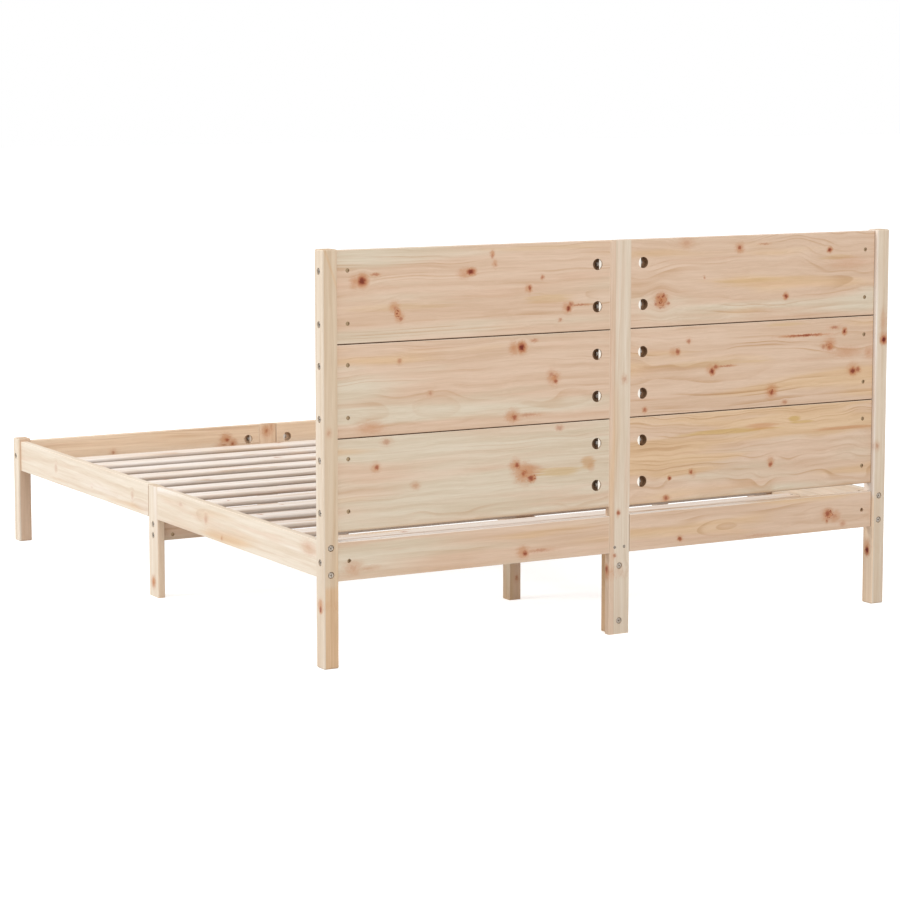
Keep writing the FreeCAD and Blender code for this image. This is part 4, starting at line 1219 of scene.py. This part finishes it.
def make_lamp(name, place, target, power):
    """A square soft lamp that looks at a point"""
    lamp = bpy.data.lights.new(name, "AREA")
    lamp.shape = "SQUARE"
    lamp.size = LAMP_SIZE
    lamp.energy = power
    piece = bpy.data.objects.new(name, lamp)
    bpy.context.scene.collection.objects.link(piece)
    piece.location = place
    piece.rotation_euler = (Vector(target) - Vector(place)).to_track_quat("-Z", "Y").to_euler()


def make_camera(studio):
    """The camera behind the headboard, on the right side of the bed"""
    camera = bpy.data.cameras.new("camera")
    camera.sensor_width = 36.0
    camera.lens = studio.lens
    camera.shift_x, camera.shift_y = CAMERA_SHIFT
    camera.clip_end = 200.0
    piece = bpy.data.objects.new("camera", camera)
    bpy.context.scene.collection.objects.link(piece)
    piece.location = CAMERA_PLACE
    piece.rotation_euler = (math.pi / 2 - CAMERA_DOWN, 0.0, math.pi - CAMERA_ASIDE)
    bpy.context.scene.camera = piece


# Operators


class PINE_BED_OT_headboard(bpy.types.Operator):
    """Finishes the six boards of the headboard"""

    bl_idname = "pine_bed.headboard"
    bl_label = "Headboard boards"

    def execute(self, context):
        finish_all(HEADBOARD_BOARDS, FIRST_BOARD, context)
        return {"FINISHED"}


class PINE_BED_OT_rails(bpy.types.Operator):
    """Finishes the head, foot and side rails"""

    bl_idname = "pine_bed.rails"
    bl_label = "Rails"

    def execute(self, context):
        finish_all(RAILS, FIRST_RAIL, context)
        return {"FINISHED"}


class PINE_BED_OT_beams(bpy.types.Operator):
    """Finishes the centre beam, the cross beam and the ledgers"""

    bl_idname = "pine_bed.beams"
    bl_label = "Beams and ledgers"

    def execute(self, context):
        finish_all(BEAMS, FIRST_BEAM, context)
        return {"FINISHED"}


class PINE_BED_OT_posts(bpy.types.Operator):
    """Finishes the posts and the centre legs"""

    bl_idname = "pine_bed.posts"
    bl_label = "Posts and legs"

    def execute(self, context):
        finish_all(POSTS, FIRST_POST, context)
        return {"FINISHED"}


class PINE_BED_OT_slats(bpy.types.Operator):
    """Finishes the fifteen slats"""

    bl_idname = "pine_bed.slats"
    bl_label = "Slats"

    def execute(self, context):
        finish_all(SLATS, FIRST_SLAT, context, slat=True)
        return {"FINISHED"}


class PINE_BED_OT_steel(bpy.types.Operator):
    """Finishes the bolts, nuts, rods, washers and screws"""

    bl_idname = "pine_bed.steel"
    bl_label = "Steel fittings"

    def execute(self, context):
        fittings = context.scene.pine_bed_fittings
        for name in ("post_bolts", "cross_beam_bolts", "leg_bolts", "tie_rods", "slat_screws",
                     "ledger_screws", "beam_screws"):
            finish_steel(name, fittings, fittings.zinc, fittings.dull_zinc)
        finish_steel("barrel_nuts", fittings, fittings.barrel_zinc, fittings.barrel_zinc)
        finish_steel("tie_rod_nuts", fittings, fittings.nut_zinc, fittings.dull_zinc)
        finish_steel("half_moon_washers", fittings, fittings.washer_zinc, fittings.washer_zinc)
        return {"FINISHED"}


class PINE_BED_OT_dowels(bpy.types.Operator):
    """Finishes the dowels"""

    bl_idname = "pine_bed.dowels"
    bl_label = "Dowels"

    def execute(self, context):
        finish_dowels(context.scene.pine_bed_fittings)
        return {"FINISHED"}


class PINE_BED_OT_studio(bpy.types.Operator):
    """Sets up the floor, the lamps and the camera"""

    bl_idname = "pine_bed.studio"
    bl_label = "Studio"

    def execute(self, context):
        studio = context.scene.pine_bed_studio
        context.scene.view_settings.view_transform = "Standard"
        make_world(studio)
        make_floor(studio)
        make_lamp("main lamp", *MAIN_LAMP, studio.window_power)
        make_lamp("head lamp", *HEAD_LAMP, studio.head_power)
        make_camera(studio)
        return {"FINISHED"}


class PINE_BED_PT_panel(bpy.types.Panel):
    """Lists the steps and the values of the bed frame"""

    bl_idname = "PINE_BED_PT_panel"
    bl_label = "Bed frame"
    bl_space_type = "VIEW_3D"
    bl_region_type = "UI"
    bl_category = "Bed frame"

    def draw(self, context):
        layout = self.layout
        scene = context.scene
        for label, group in (("Pine", scene.pine_bed_timber), ("Fittings", scene.pine_bed_fittings),
                             ("Studio", scene.pine_bed_studio)):
            box = layout.box()
            box.label(text=label)
            for name in group.bl_rna.properties.keys():
                if name not in ("rna_type", "name"):
                    box.prop(group, name)
        for step in STEPS:
            layout.operator(step.bl_idname)


GROUPS = (PINE_BED_timber, PINE_BED_fittings, PINE_BED_studio)
STEPS = (PINE_BED_OT_headboard, PINE_BED_OT_rails, PINE_BED_OT_beams, PINE_BED_OT_posts, PINE_BED_OT_slats,
         PINE_BED_OT_steel, PINE_BED_OT_dowels, PINE_BED_OT_studio)


def register():
    for item in GROUPS + STEPS + (PINE_BED_PT_panel,):
        bpy.utils.register_class(item)
    bpy.types.Scene.pine_bed_timber = bpy.props.PointerProperty(type=PINE_BED_timber)
    bpy.types.Scene.pine_bed_fittings = bpy.props.PointerProperty(type=PINE_BED_fittings)
    bpy.types.Scene.pine_bed_studio = bpy.props.PointerProperty(type=PINE_BED_studio)


def unregister():
    del bpy.types.Scene.pine_bed_timber
    del bpy.types.Scene.pine_bed_fittings
    del bpy.types.Scene.pine_bed_studio
    for item in reversed(GROUPS + STEPS + (PINE_BED_PT_panel,)):
        bpy.utils.unregister_class(item)


def main():
    register()
    bpy.ops.pine_bed.headboard()
    bpy.ops.pine_bed.rails()
    bpy.ops.pine_bed.beams()
    bpy.ops.pine_bed.posts()
    bpy.ops.pine_bed.slats()
    bpy.ops.pine_bed.steel()
    bpy.ops.pine_bed.dowels()
    bpy.ops.pine_bed.studio()


if __name__ == "__main__":
    main()
